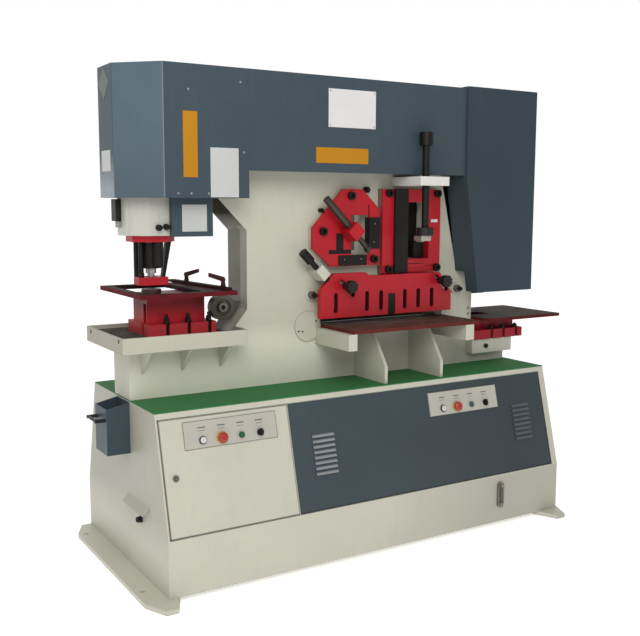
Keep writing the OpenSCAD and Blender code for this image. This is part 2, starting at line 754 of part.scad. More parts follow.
module punch_table() color(worn_top) machine() difference() {
  box(ring_x0, ring_x1, -ring_depth / 2, ring_depth / 2, ring_z, ring_top);
  box(ring_x0 + ring_bar, ring_land_x, -ring_depth / 2 + ring_bar, ring_depth / 2 - ring_bar,
    ring_z - cut, ring_top + cut);
  for (y = lever_at) translate([fence_x - y * sin(fence_turn), y * cos(fence_turn), 0])
    box(-lever_back, lever_ahead, -lever_slot / 2, lever_slot / 2, ring_z - cut, ring_top + cut);
}

block_x0 = bolster_x0 + 11;
block_x1 = bolster_x1 - 36;
block_y = bolster_y - 40;
slug_d = 60;
die_depth = 35;

module die_bolster() color(red) machine() difference() {
  union() {
    box(bolster_x0, bolster_x1, -bolster_y, bolster_y, bolster_z, bolster_z + bolster_foot_h);
    box(block_x0, block_x1, -block_y, block_y, bolster_z + bolster_foot_h, ring_z);
  }
  for (x = bolster_slots)
    box(x - slot_w / 2, x + slot_w / 2, -bolster_y - cut, -block_y - 1, bolster_z - cut,
      bolster_z + bolster_foot_h + cut);
  translate([punch_x, 0, ring_z - die_depth]) cylinder(d = die_d + fit, h = die_depth + cut);
  translate([punch_x, 0, bolster_z - cut]) cylinder(d = slug_d, h = ring_z);
  box(bolster_x0 - cut, block_x0 + 11, -block_y + 10, -block_y + 42, bolster_z - cut,
    ring_z - die_depth - 5);
}

module punch_die() color(steel) machine() translate([punch_x, 0, ring_z - die_depth]) difference() {
  cylinder(d = die_d, h = ring_top - ring_z + die_depth);
  translate([0, 0, -cut]) cylinder(d = punch_d + 2 * die_clear, h = 100);
  translate([0, 0, -cut]) cylinder(d = slug_d - 20, h = die_depth);
}

// Shallow tray on two bars that lie along the lower arm
module drip_tray() color(cream) machine() difference() {
  union() {
    difference() {
      box(tray_x0, tray_x1, -tray_y, tray_y, arm_z, arm_z + tray_h);
      for (z = [[arm_z - cut, arm_z + tray_floor], [bolster_z, arm_z + tray_h + cut]])
        box(tray_x0 + tray_t, tray_x1 - tray_t, -tray_y + tray_t, tray_y - tray_t, z[0], z[1]);
    }
    for (s = [-1, 1]) translate([0, s * (face + half_gap) / 2, 0])
      box(frame_left, tray_x1 - tray_t, -tray_bar / 2, tray_bar / 2, arm_z, arm_z + tray_floor);
  }
  box(throat_x - throat_low[0] - 1, tray_x1 + cut, -face - 1, face + 1, arm_z - cut,
    arm_z + tray_h + cut);
  translate([punch_x, 0, arm_z - cut]) cylinder(d = slug_d, h = tray_h);
}

boss_d = 116;
boss_at = [throat_x - 82, arm_z + 141];
boss_y = [-22, 20];
boss_arm_h = 44;

// Round boss on a short arm from the throat wall
module throat_boss() color(cream) machine() difference() {
  union() {
    rod_y(boss_at[0], boss_at[1], boss_d, boss_y[0], boss_y[1]);
    box(boss_at[0], throat_x + 20, boss_y[0] + 14, boss_y[1], boss_at[1] - boss_arm_h / 2,
      boss_at[1] + boss_arm_h / 2);
  }
  difference() {
    rod_y(boss_at[0], boss_at[1], 74, boss_y[0] - 1, boss_y[0] + 12);
    rod_y(boss_at[0], boss_at[1], 46, boss_y[0] - 2, boss_y[0] + 13);
  }
  rod_y(boss_at[0], boss_at[1], 22, boss_y[0] - 1, boss_y[0] + 30);
  xz_prism(frame_outline(), -face, face);
}

module on_fence() translate([fence_x, 0, 0]) rotate([0, 0, fence_turn]) children();

module fence() color(worn_top) machine() on_fence() difference() {
  box(-fence_w / 2, fence_w / 2, fence_y[0], fence_y[1], ring_top + fit, ring_top + fence_h);
  for (y = lever_at) translate([0, y, ring_top - cut]) cylinder(d = lever_pin_d + 2 * fit,
    h = fence_h + 2 * cut);
}

lever_len = 62;
lever_post_h = 34;

// Upright post with a flat handle that rises towards its end
module clamp_lever(y, turn) on_fence() translate([0, y, ring_top + fence_h]) {
  translate([0, 0, -fence_h - ring_t - 8]) cylinder(d = lever_pin_d, h = fence_h + ring_t + 12);
  translate([0, 0, fit]) cylinder(d = 22, h = 10);
  translate([0, 0, fit]) cylinder(d = 19, h = lever_post_h);
  translate([0, 0, lever_post_h - 6]) rotate([0, 0, turn]) rotate([90, 0, 0])
    linear_extrude(20, center = true)
      polygon([[-10, -1], [6, -4], [lever_len, 14], [lever_len, 30], [-4, 13]]);
}

module front_clamp_lever() color(black) machine() clamp_lever(lever_at[0], 135);
module rear_clamp_lever() color(black) machine() clamp_lever(lever_at[1], -60);

module flat_shear_table() color(worn_top) machine()
  box(table_x0, table_x1, -face - table_reach, -face, table_z - table_t, table_z);

// 45 degree nut block carrying the flat hold-down screw
flat_axis_y = (hold_y0 + hold_y1) / 2;
block_back = block_off + block_len;
collar_post_d = 44;
bracket_drop = 74;

module table_bracket(x0, w) box(x0, x0 + w, -face - table_reach, -face,
  table_z - table_t - bracket_drop, table_z - table_t);

module gusset(x0) yz_prism([[-face, base_top], [-face - gusset_reach, base_top], [-face - gusset_reach,
  base_top + 82],
  [-face - 140, table_z - table_t], [-face, table_z - table_t]], x0, x0 + gusset_t);

module section_bracket() difference() {
  box(bracket_x - bracket_w / 2, bracket_x + bracket_w / 2, -bracket_reach, -face, bracket_z,
    bracket_z + bracket_t);
  translate([section_screw_x, -section_screw_y, bracket_z - cut]) cylinder(d = screw_d + 2 * fit,
    h = bracket_t + 2 * cut);
}

rib_x = [punch_x - 90, punch_x + 90, punch_x + 270];
rib_reach = 110;
rib_t = 12;

module frame_brackets() color(cream) machine() {
  difference() {
    table_bracket(table_x0 - 27, 45);
    rod_y(pivot_x, pivot_z, pivot_cover_d + 2, -face - 11, -face + cut);
  }
  table_bracket(table_x1 - 87, 50);
  for (x = gusset_x) gusset(x);
  for (s = [-1, 1])
    translate([0, s * (face + 27.5), 0]) box(nose_x - 35, jaw_x + 7, -27.5, 27.5, jaw_z - 72, jaw_z);
  difference() {
    down_right(flat_axis, flat_axis_y)
      translate([-block_w / 2, flat_axis_y - hold_y1 - 10, -block_back]) cube([block_w,
        hold_y1 + 10 - face, block_len]);
    down_right(flat_axis, flat_axis_y) translate([0, 0, -block_back - cut])
      cylinder(d = screw_low_d + 2 * fit, h = block_len + 2 * cut);
  }
  section_bracket();
  for (p = knob_at) difference() {
    rod_y(p[0], p[1], collar_post_d, -hold_y0 + seat_gap, -face);
    rod_y(p[0], p[1], stud_d + 2 * fit, -hold_y0, -face + cut);
  }
  for (x = rib_x) yz_prism([[-face, arm_z + tray_floor], [-face - rib_reach, arm_z + tray_floor],
    [-face - rib_reach, arm_z], [-face, arm_z - rib_reach]], x, x + rib_t);
}

knife_proud = 3;
angle_plate_pts = [[0, 86], [0, 180], [165, 357], [274, 357], [373, 262], [373, 0], [96, 0]];
side_knife = [corner_x, angle_x0 + 373, angle_z0 + 78, angle_z0 + 226];
low_knife = [angle_x0 + 140, angle_x0 + 298, angle_z0 + 3, corner_z];

t_slot = [angle_x0 + 87, corner_x - 101, corner_z + 8, corner_z + 27];
t_stem = [angle_x0 + 128, angle_x0 + 169, corner_z + 104];
t_depth = 20;

module knife(k) box(k[0], k[1], -plate_y - knife_proud, -face, k[2], k[3]);

module fixed_blades() color(black) machine() {
  box(blade_x0, blade_x0 + blade_len, -half_gap - blade_t, -half_gap, table_z - blade_h, table_z);
  box(t_slot[0], t_slot[1], -plate_y + 3, -plate_y + t_depth, t_slot[2], t_slot[3]);
  box(t_stem[0], t_stem[1], -plate_y + 3, -plate_y + t_depth, t_slot[3], t_stem[2]);
  box(section_win[1] - 60, section_win[1], -face, -half_gap, section_win[2], section_win[2] + 76);
  knife(side_knife);
  knife(low_knife);
  box(guide_x, guide_x + guide_w, -plate_y - 15, -plate_y + 20, section_z0 + 2,
    section_z0 + section_h + 2);
}

boss_back = 30;

module angle_shear_plate() color(red) machine() difference() {
  union() {
    xz_prism([for (p = angle_plate_pts) [angle_x0 + p[0], angle_z0 + p[1]]], -plate_y, -face);
    down_right(angle_axis, angle_axis_y)
      translate([-boss_w / 2, -boss_back, -boss_len / 2]) cube([boss_w,
        angle_axis_y - plate_y + boss_back, boss_len]);
  }
  box(corner_x - 101, corner_x, -plate_y - cut, -face + cut, corner_z, corner_z + 187);
  box(corner_x - 7, corner_x, -plate_y - cut, -face + cut, corner_z, corner_z + 235);
  box(t_slot[0], t_slot[1] + cut, -plate_y - cut, -plate_y + t_depth, t_slot[2], t_slot[3]);
  box(t_stem[0], t_stem[1], -plate_y - cut, -plate_y + t_depth, t_slot[3] - cut, t_stem[2]);
  box(side_knife[0], side_knife[1] + cut, -plate_y - cut, -face + cut, side_knife[2], side_knife[3]);
  box(low_knife[0], low_knife[1], -plate_y - cut, -face + cut, low_knife[2], low_knife[3] + cut);
  for (p = angle_bolts) rod_y(p[0], p[1], bolt_d + fit, -plate_y - cut, -face + cut);
  down_right(angle_axis, angle_axis_y) translate([0, 0, -boss_len]) cylinder(d = screw_low_d + 2 * fit,
    h = 2 * boss_len);
}

module section_shear_plate() color(red) machine() difference() {
  box(section_x0, section_x0 + section_w, -plate_y, -face, section_z0, section_z0 + section_h);
  box(section_win[0], section_win[1], -plate_y - cut, -face + cut, section_win[2], section_win[3]);
  box(guide_x, guide_x + guide_w, -plate_y - cut, -plate_y + 20, section_z0 + 2,
    section_z0 + section_h + cut);
  box(section_x0 - cut, section_x0 + section_w + cut, -plate_y - cut, -plate_y + 4, section_z0 + 28,
    section_z0 + 34);
  for (p = section_bolts) rod_y(p[0], p[1], bolt_d + fit, -plate_y - cut, -face + cut);
}

module hex_y(x, z, af, y0, y1) translate([x, y1, z]) rotate([90, 0, 0]) cylinder(d = af / cos(30),
  h = y1 - y0, $fn = 6);

module clamp_bolts() color(black) machine() {
  for (p = concat(angle_bolts, section_bolts)) {
    difference() {
      rod_y(p[0], p[1], bolt_head_d, -plate_y - bolt_head_h, -plate_y);
      hex_y(p[0], p[1], 17, -plate_y - bolt_head_h - cut, -plate_y - 4);
    }
    rod_y(p[0], p[1], bolt_d, -plate_y, -face + bolt_depth - 1);
  }
  for (p = tie_bolts) {
    rod_y(p[0], p[1], bolt_d, -face - 53, -face + bolt_depth - 1);
    rod_y(p[0], p[1], 50, -face - 10, -face);
    hex_y(p[0], p[1], 34, -face - 34, -face - 10);
  }
  for (p = side_bolts) {
    rod_y(p[0], p[1], bolt_d, -face - 28, -face + bolt_depth - 1);
    hex_y(p[0], p[1], 28, -face - 20, -face);
  }
  rod_y(nose_x + 57, jaw_z - 37, 24, -face - 63, -face - 55);
  for (x = bolster_slots) translate([x, -bolster_y + 14, 0]) {
    translate([0, 0, bolster_z]) cylinder(d = slot_w - 2, h = bolster_foot_h + 40);
    translate([0, 0, bolster_z + bolster_foot_h]) cylinder(d = 30, h = 5);
    translate([0, 0, bolster_z + bolster_foot_h + 5]) cylinder(d = 26, h = 18, $fn = 6);
  }
  for (x = notch_bolts) translate([x, -notch_foot_y + 14, 0]) {
    translate([0, 0, jaw_z]) cylinder(d = slot_w - 2, h = notch_foot_h + 22);
    translate([0, 0, jaw_z + notch_foot_h]) cylinder(d = 26, h = 16, $fn = 6);
  }
}

module pivot_pin() color(steel) machine() {
  rod_y(pivot_x, pivot_z, pivot_d, -face, face);
  rod_y(pivot_x, pivot_z, pivot_cover_d, -face - 10, -face);
}

notch_foot_y = 160;
notch_foot_h = 48;
notch_body_y = 110;
notch_chamfer = 50;
notch_bolts = [nose_x + 90, nose_x + 172, nose_x + 261];

module notch_cavity(z0, z1) box(notch_win[0], notch_win[1], -notch_half, notch_half, z0, z1);

module notch_table() color(worn_top) machine() difference() {
  box(notch_x0, notch_x0 + notch_len, -notch_depth / 2, notch_depth / 2, notch_z - notch_t, notch_z);
  notch_cavity(notch_z - notch_t - cut, notch_z + cut);
  translate([notch_x0, -notch_depth / 2, notch_z - notch_t / 2]) rotate([0, 0, 45])
    cube([notch_chamfer, notch_chamfer, 2 * notch_t], center = true);
}

module notch_die_block() color(red) machine() difference() {
  union() {
    box(nose_x + 10, nose_x + 301, -notch_foot_y, notch_foot_y, jaw_z, jaw_z + notch_foot_h);
    for (y = [-notch_foot_y, face + 2])
      translate([0, y, 0]) box(nose_x - 35, nose_x + 11, 0, notch_foot_y - face - 2, jaw_z,
        jaw_z + notch_foot_h);
    box(nose_x + 25, nose_x + 281, -notch_body_y, notch_body_y, jaw_z + notch_foot_h, notch_z - notch_t);
  }
  notch_cavity(jaw_z - cut, notch_z + cut);
  for (x = notch_bolts)
    box(x - slot_w / 2, x + slot_w / 2, -notch_foot_y - cut, -notch_body_y - 8, jaw_z - cut,
      jaw_z + notch_foot_h + cut);
}

barrel_d = 190;
barrel_z = right_arm_z - 300;
dome_r = 60;

module shear_cylinder() color(cream) machine() translate([ram_x, 0, 0]) difference() {
  union() {
    translate([0, 0, barrel_z]) cylinder(d = barrel_d, h = right_arm_z - barrel_z);
    translate([0, 0, right_arm_z - 28]) cylinder(d = barrel_d + 36, h = 28);
  }
  translate([0, 0, barrel_z - cut]) cylinder(d = ram_d + 2 * fit, h = right_arm_z - barrel_z - 20);
}

module shear_ram() color(steel) machine() translate([ram_x, 0, seat_z + seat_gap]) intersection() {
  cylinder(d = ram_d, h = 265);
  union() {
    translate([0, 0, dome_r]) sphere(r = dome_r);
    translate([0, 0, dome_r]) cylinder(d = ram_d + 2, h = 300);
  }
}

beam_r = 95;
window_play = 4;
station_blade_t = 20;
beam_bottom = table_z + 56;
beam_top = base_top + 906;
moving_blade_h = 70;

module shear_beam() color(cream) machine() difference() {
  union() {
    xz_prism([[pivot_x - beam_r, pivot_z], [pivot_x - beam_r, beam_top - 80], [pivot_x - beam_r + 80,
      beam_top],
      [pivot_x + 748, beam_top], [pivot_x + 828, seat_z + 90], [ram_x - 70, seat_z], [ram_x + 110,
        seat_z],
      [ram_x + 110, seat_z - 150], [ram_x - 40, seat_z - 150], [pivot_x + 838, beam_bottom],
        [pivot_x + 80, beam_bottom],
      [pivot_x + 60, pivot_z]], -beam_y, beam_y);
    rod_y(pivot_x, pivot_z, 2 * beam_r, -beam_y, beam_y);
  }
  rod_y(pivot_x, pivot_z, pivot_d + 2 * fit, -beam_y - cut, beam_y + cut);
  windows(window_play, -beam_y - cut, beam_y + cut);
  box(blade_x0, blade_x0 + blade_len, -beam_y - cut, -beam_y + blade_t, table_z + flat_gap - cut,
    table_z + flat_gap + moving_blade_h);
}

angle_gap = 18;
bar_hole = [section_win[0] + 24, section_win[2] + 38, 34];

module beam_blades() color(steel) machine() {
  box(blade_x0, blade_x0 + blade_len, -beam_y, -beam_y + blade_t, table_z + flat_gap,
    table_z + flat_gap + moving_blade_h);
  box(corner_x - 107, corner_x - angle_gap, -beam_y, -beam_y + station_blade_t, corner_z + angle_gap,
    angle_win[3] + window_play);
  difference() {
    box(section_win[0] - window_play, section_win[1] + window_play, -beam_y, -beam_y + station_blade_t,
      section_win[2] - window_play, section_win[3] + window_play);
    rod_y(bar_hole[0], bar_hole[1], bar_hole[2], -beam_y - cut, 0);
  }
  box(ram_x - 30, ram_x + 70, -beam_y + 6, beam_y - 6, seat_z - 222, seat_z - 150);
}

hold_slot_w = 22;
hold_slots = [82, 256, 337, 477, 558, 641];
hold_slot_z = [33, 106];

module flat_holddown() color(red) machine() difference() {
  translate([hold_x0, 0, hold_z0]) xz_prism([[0, 0], [0, 132], [75, hold_h], [248, hold_h], [268,
    hold_h - 16],
    [690, hold_h - 16], [hold_w, 92], [hold_w, 0]], -hold_y1, -hold_y0);
  for (x = hold_slots) translate([hold_x0 + x, 0, hold_z0]) {
    box(-hold_slot_w / 2, hold_slot_w / 2, -hold_y1 - cut, -hold_y0 + cut, hold_slot_z[0],
      hold_slot_z[1]);
    for (z = hold_slot_z) rod_y(0, z, hold_slot_w, -hold_y1 - cut, -hold_y0 + cut);
  }
  translate([hold_x0, 0, hold_z0]) box(378, 420, -hold_y1 - cut, -hold_y0 + cut, -cut, 100);
  for (p = knob_at) down_right(p, hold_y1 + cut) {
    for (s = [-28, 60]) translate([0, 0, s]) rotate([-90, 0, 0]) cylinder(d = stud_d + 6, h = 60);
    translate([-stud_d / 2 - 3, 0, -28]) cube([stud_d + 6, 60, 88]);
  }
  down_right(flat_axis, flat_axis_y) cylinder(d = swivel_d + 2 * fit, h = swivel_depth);
  down_right(flat_axis, flat_axis_y) translate([0, 0, -20]) cylinder(d = screw_low_d + 4, h = 20);
}

flat_head_d = 42;
flat_head_len = 62;

module flat_screw() color(black) machine() down_right(flat_axis, flat_axis_y) {
  translate([0, 0, -block_back - 106]) cylinder(d = flat_head_d, h = flat_head_len);
  translate([0, 0, -block_back - 60]) cylinder(d = screw_low_d, h = block_back + 60 - seat_gap);
  translate([0, 0, -2]) cylinder(d = swivel_d, h = swivel_depth + 1);
}

module clamp_knob(p) {
  rod_y(p[0], p[1], stud_d, -hold_y1 - 40, -face + bolt_depth - 5);
  rod_y(p[0], p[1], 34, -hold_y1 - 36, -hold_y1 - seat_gap);
  difference() {
    rod_y(p[0], p[1], knob_d, -hold_y1 - 66, -hold_y1 - 36);
    for (a = [0:45:315])
      rod_y(p[0] + (knob_d / 2 + 3) * cos(a), p[1] + (knob_d / 2 + 3) * sin(a), 14, -hold_y1 - 70,
        -hold_y1 - 35);
  }
}

module left_clamp_knob() color(black) machine() clamp_knob(knob_at[0]);
module right_clamp_knob() color(black) machine() clamp_knob(knob_at[1]);

angle_end = 104;

module angle_foot() color(steel) machine() down_right(angle_axis, angle_axis_y) translate([0, 0,
  angle_end]) difference() {
  cylinder(d = screw_d + 2, h = 20);
  translate([0, 0, -cut]) cylinder(d = swivel_d + 2 * fit, h = swivel_depth + cut);
}

module angle_screw() color(black) machine() down_right(angle_axis, angle_axis_y) {
  translate([0, 0, -212]) cylinder(d = screw_d, h = 160);
  translate([0, 0, -60]) cylinder(d = screw_low_d, h = 60 + angle_end - seat_gap);
  translate([0, 0, 60]) cylinder(d = swivel_d, h = angle_end + swivel_depth - 61);
}

foot_collar_d = 80;
foot_pad = 56;
foot_pad_off = 14;
foot_pad_h = 23;
foot_collar_h = 39;
section_top = section_foot_z + foot_pad_h + foot_collar_h;

module section_foot() color(steel) machine() translate([section_screw_x, -section_screw_y,
  section_foot_z]) difference() {
  union() {
    translate([-foot_pad / 2 - foot_pad_off, -foot_pad / 2, 0]) cube([foot_pad, foot_pad, foot_pad_h]);
    translate([0, 0, foot_pad_h]) cylinder(d = foot_collar_d, h = foot_collar_h);
  }
  translate([0, 0, foot_pad_h + foot_collar_h - 26]) cylinder(d = swivel_d + 6 + 2 * fit, h = 40);
}

section_head_d = 62;

module section_screw() color(black) machine() translate([section_screw_x,
  -section_screw_y, section_top]) {
  translate([0, 0, seat_gap]) cylinder(d = screw_d, h = bracket_z + 190 - section_top);
  translate([0, 0, -25]) cylinder(d = swivel_d + 6, h = 40);
  translate([0, 0, bracket_z + 187 - section_top]) cylinder(d = section_head_d, h = 60);
}

base_cabinet();
top_mat();
front_cover_panel();
right_control_plate();
oil_sight_gauge();
cable_gland();
slug_bin();
bin_handle();
front_frame_plate();
rear_frame_plate();
left_hood();
mid_cover();
right_cover();
punch_cylinder();
cylinder_flange();
stripper_posts();
stripper_foot();
punch_table();
die_bolster();
punch_die();
drip_tray();
flat_shear_table();
frame_brackets();
fixed_blades();
angle_shear_plate();
section_shear_plate();
clamp_bolts();
throat_boss();
pivot_pin();
notch_table();
notch_die_block();
shear_cylinder();
electrics_plate();
power_unit();
cabinet_door();
left_control_plate();
door_lock();
left_estop();
left_start_button();
left_selector();
right_estop();
right_start_button();
right_selector();
punch_ram();
ram_coupling();
punch();
shear_beam();
beam_blades();
shear_ram();
flat_holddown();
flat_screw();
left_clamp_knob();
right_clamp_knob();
angle_foot();
angle_screw();
section_foot();
section_screw();
fence();
front_clamp_lever();
rear_clamp_lever();
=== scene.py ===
import math

import bpy
from mathutils import Matrix, Vector


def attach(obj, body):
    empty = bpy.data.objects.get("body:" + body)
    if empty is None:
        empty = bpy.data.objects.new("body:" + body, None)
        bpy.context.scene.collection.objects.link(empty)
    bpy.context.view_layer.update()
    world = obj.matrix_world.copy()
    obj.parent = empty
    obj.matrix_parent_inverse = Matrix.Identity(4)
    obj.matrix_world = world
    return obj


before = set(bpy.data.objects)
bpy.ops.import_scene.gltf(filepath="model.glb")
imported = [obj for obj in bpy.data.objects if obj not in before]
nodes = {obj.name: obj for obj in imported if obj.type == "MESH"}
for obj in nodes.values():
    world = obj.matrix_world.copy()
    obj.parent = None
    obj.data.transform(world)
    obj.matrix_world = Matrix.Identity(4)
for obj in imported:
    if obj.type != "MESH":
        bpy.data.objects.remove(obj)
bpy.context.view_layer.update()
scene = bpy.context.scene

# Places: pieces in millimetres from the cabinet's middle, zones of paint in metres from the part's origin
MM = 1000  # millimetres in a metre
SHIFT = 1.112  # the part's origin lies 1.112 m to the left of the cabinet's middle
FRONT_RUN = 125  # the sloping front leans back this far over its rise
FRONT_RISE = 481
FRONT_FOOT_Y = -498
FRONT_FOOT_Z = 253
LEAN = math.atan2(FRONT_RUN, FRONT_RISE)
FRONT_NORMAL = (0.0, -math.cos(LEAN), math.sin(LEAN))
# How far the plane of the sloping front lies from the origin, in metres
FRONT_REACH = (FRONT_FOOT_Y * FRONT_NORMAL[1] + FRONT_FOOT_Z * FRONT_NORMAL[2]) / MM
FRONT = (0, -1, 0)
LEFT = (-1, 0, 0)
UP = (0, 0, 1)
COVER_Y = -241  # front of the hood and the covers
APRON_Y = -150  # front of the box under the hood
PLATE_Y = -135  # front of the shear plates
FITTING_Y = -124  # side of the punch cylinder
FACE_Y = -95  # front of the frame
BOSS_Y = -22  # front of the boss in the throat
GAUGE_Y = -515  # front of the oil gauge
HOOD_END_X = -1091
TRAY_END_X = -1122

# Materials
MIX_A = 6  # colour sockets of a Mix node
MIX_B = 7
MIX_RESULT = 2
FACING = (0.45, 0.55)  # a face counts as looking along an axis when its normal passes these
DEEP_SHADE = 0.04  # tones below this are gaps, oil or deep shade and don't shine


class Graph:
    """A small builder for a material's node tree."""

    def __init__(self, name):
        self.mat = bpy.data.materials.new(name)
        self.mat.use_nodes = True
        self.tree = self.mat.node_tree
        self.tree.nodes.clear()
        out = self.add("ShaderNodeOutputMaterial")
        self.bsdf = self.add("ShaderNodeBsdfPrincipled")
        self.link(self.bsdf, "BSDF", out, "Surface")
        self.pos = self.add("ShaderNodeTexCoord")
        self.parts = {}

    def add(self, kind, **values):
        node = self.tree.nodes.new(kind)
        for key, value in values.items():
            setattr(node, key, value)
        return node

    def link(self, a, out, b, socket):
        self.tree.links.new(a.outputs[out], b.inputs[socket])

    def noise(self, scale, detail=3.0, rough=0.55, stretch=None):
        tex = self.add("ShaderNodeTexNoise")
        tex.inputs["Scale"].default_value = scale
        tex.inputs["Detail"].default_value = detail
        tex.inputs["Roughness"].default_value = rough
        if stretch:
            mapping = self.add("ShaderNodeMapping")
            mapping.inputs["Scale"].default_value = stretch
            self.link(self.pos, "Object", mapping, "Vector")
            self.link(mapping, "Vector", tex, "Vector")
        else:
            self.link(self.pos, "Object", tex, "Vector")
        return tex

    def ramp(self, source, low, high, a=0.0, b=1.0, out=0):
        """Turns low to high, in one output of the source, into a to b."""
        node = self.add("ShaderNodeMapRange")
        node.inputs["From Min"].default_value = low
        node.inputs["From Max"].default_value = high
        node.inputs["To Min"].default_value = a
        node.inputs["To Max"].default_value = b
        self.link(source, out, node, "Value")
        return node

    def split(self, which):
        """The object's coordinates or normals as three values."""
        if which not in self.parts:
            node = self.add("ShaderNodeSeparateXYZ")
            self.link(self.pos, which, node, "Vector")
            self.parts[which] = node
        return self.parts[which]

    def times(self, a, b):
        node = self.add("ShaderNodeMath", operation="MULTIPLY")
        self.link(a, 0, node, 0)
        self.link(b, 0, node, 1)
        return node

    def zone(self, x=None, y=None, z=None, faces=None, soft=0.002, proud=None):
        """1 inside the limits in metres, on faces that look one way or stand proud of the sloping front.

        A third limit is the softness of that axis alone."""
        masks = []
        if proud:
            out = self.add("ShaderNodeVectorMath", operation="DOT_PRODUCT")
            out.inputs[1].default_value = FRONT_NORMAL
            self.link(self.pos, "Object", out, 0)
            masks.append(self.ramp(out, FRONT_REACH + proud[0], FRONT_REACH + proud[1], out="Value"))
        for axis, limits in (("X", x), ("Y", y), ("Z", z)):
            if limits:
                coords = self.split("Object")
                low, high, blur = (*limits, soft)[:3]
                masks.append(self.ramp(coords, low - blur, low + blur, out=axis))
                masks.append(self.ramp(coords, high - blur, high + blur, 1.0, 0.0, out=axis))
        if faces:
            sign = 1 if faces[0] == "+" else -1
            masks.append(self.ramp(self.split("Normal"), FACING[0] * sign, FACING[1] * sign, out=faces[1]))
        total = masks[0]
        for mask in masks[1:]:
            total = self.times(total, mask)
        return total

    def mix(self, factor, a, b):
        """a and b are colours or other mixes."""
        node = self.add("ShaderNodeMix", data_type="RGBA")
        self.link(factor, 0, node, 0)
        for socket, value in ((MIX_A, a), (MIX_B, b)):
            if isinstance(value, bpy.types.Node):
                self.link(value, MIX_RESULT, node, socket)
            else:
                node.inputs[socket].default_value = (*value, 1.0)
        return node

    def surface(self, colour, rough):
        self.link(colour, MIX_RESULT, self.bsdf, "Base Color")
        self.link(rough, 0, self.bsdf, "Roughness")

    def bump(self, height, strength, distance, edge):
        """Fine relief over edges that look rounded."""
        node = self.add("ShaderNodeBump")
        node.inputs["Strength"].default_value = strength
        node.inputs["Distance"].default_value = distance
        self.link(height, 0, node, "Height")
        round_edge = self.add("ShaderNodeBevel", samples=4)
        round_edge.inputs["Radius"].default_value = edge
        self.link(round_edge, "Normal", node, "Normal")
        self.link(node, "Normal", self.bsdf, "Normal")


def scaled(colour, factor):
    return tuple(min(1.0, c * factor) for c in colour)


def spot(tone, cover, **where):
    """Another colour in one zone, and how far it covers what is under it."""
    return where, tone, cover


def paint(name, colour, dirt, rough, amount=0.12, edge=0.0025, grain=0.06, shine=0.5, ior=1.5, zones=()):
    """Sprayed paint: soft blotches, fine grain, streaks and specks of dirt, uneven gloss, and spots of
    other colour, some of them painted light and shade.
    """
    g = Graph(name)
    blotch = g.noise(2.6, detail=4.0, rough=0.6)
    fine = g.noise(260.0, detail=2.0, rough=0.6)
    streak = g.noise(7.0, detail=4.0, rough=0.6, stretch=(3.0, 3.0, 0.6))
    base = g.mix(g.ramp(blotch, 0.3, 0.7), scaled(colour, 0.95), scaled(colour, 1.04))
    grained = g.mix(g.ramp(fine, 0.35, 0.75, 0.0, grain), base, scaled(colour, 0.45))
    streaked = g.mix(g.ramp(streak, 0.52, 0.8, 0.0, amount), grained, dirt)
    speck = g.ramp(g.noise(38.0, detail=4.0, rough=0.6), 0.66, 0.76, 0.0, amount * 0.8)
    final = g.mix(speck, streaked, dirt)
    gloss = None
    for where, tone, cover in zones:
        mask = g.zone(**where)
        if max(tone) < DEEP_SHADE:
            dull = g.ramp(mask, 0.0, 1.0, 1.0, 0.0)
            gloss = g.times(gloss, dull) if gloss else dull
        patch = g.ramp(g.noise(6.0, detail=5.0, rough=0.65), 0.2, 0.7, cover * 0.75, cover)
        final = g.mix(g.times(mask, patch), final, tone)
    g.surface(final, g.ramp(blotch, 0.25, 0.75, rough - 0.05, rough + 0.08))
    g.bsdf.inputs["Specular IOR Level"].default_value = shine
    if gloss:
        g.link(g.ramp(gloss, 0.0, 1.0, 0.0, shine), 0, g.bsdf, "Specular IOR Level")
    g.bsdf.inputs["IOR"].default_value = ior
    g.bump(g.noise(420.0, detail=2.0), 0.2, 0.0004, edge)
    return g.mat


def worn_plate(name, top, bare, side, inner=None):
    """Steel table: scuffed dark top, painted outer edges, and dark edges inside the given limits."""
    g = Graph(name)
    scuff = g.noise(5.0, detail=6.0, rough=0.7, stretch=(1.0, 3.0, 1.0))
    face = g.mix(g.ramp(scuff, 0.42, 0.66), top, bare)
    chips = g.ramp(g.noise(22.0, detail=5.0, rough=0.7), 0.5, 0.72, 0.0, 0.5)
    edge = g.mix(chips, side, scaled(top, 0.5))
    if inner:
        edge = g.mix(g.zone(**inner), edge, scaled(top, 0.6))
    final = g.mix(g.zone(faces="+Z"), edge, face)
    g.surface(final, g.ramp(scuff, 0.3, 0.7, 0.66, 0.52))
    g.bsdf.inputs["IOR"].default_value = 1.12
    g.bump(g.noise(180.0), 0.2, 0.0004, edge=0.0015)
    return g.mat


def metal(name, colour, rough=0.34, streaks=(1.0, 1.0, 60.0), dark=0.6, zones=()):
    """Machined or blackened steel with fine tool lines and oily patches."""
    g = Graph(name)
    lines = g.noise(14.0, rough=0.6, stretch=streaks)
    patch = g.noise(11.0, detail=5.0, rough=0.65)
    base = g.mix(g.ramp(lines, 0.3, 0.7), scaled(colour, 0.82), colour)
    final = g.mix(g.ramp(patch, 0.5, 0.72, 0.0, dark), base, scaled(colour, 0.42))
    for where, tone, cover in zones:
        mottle = g.ramp(patch, 0.3, 0.7, cover, cover * 0.8)
        final = g.mix(g.times(g.zone(**where), mottle), final, tone)
    g.surface(final, g.ramp(patch, 0.3, 0.7, rough - 0.08, rough + 0.14))
    g.bsdf.inputs["Metallic"].default_value = 0.75
    g.bump(lines, 0.12, 0.0004, edge=0.001)
    return g.mat


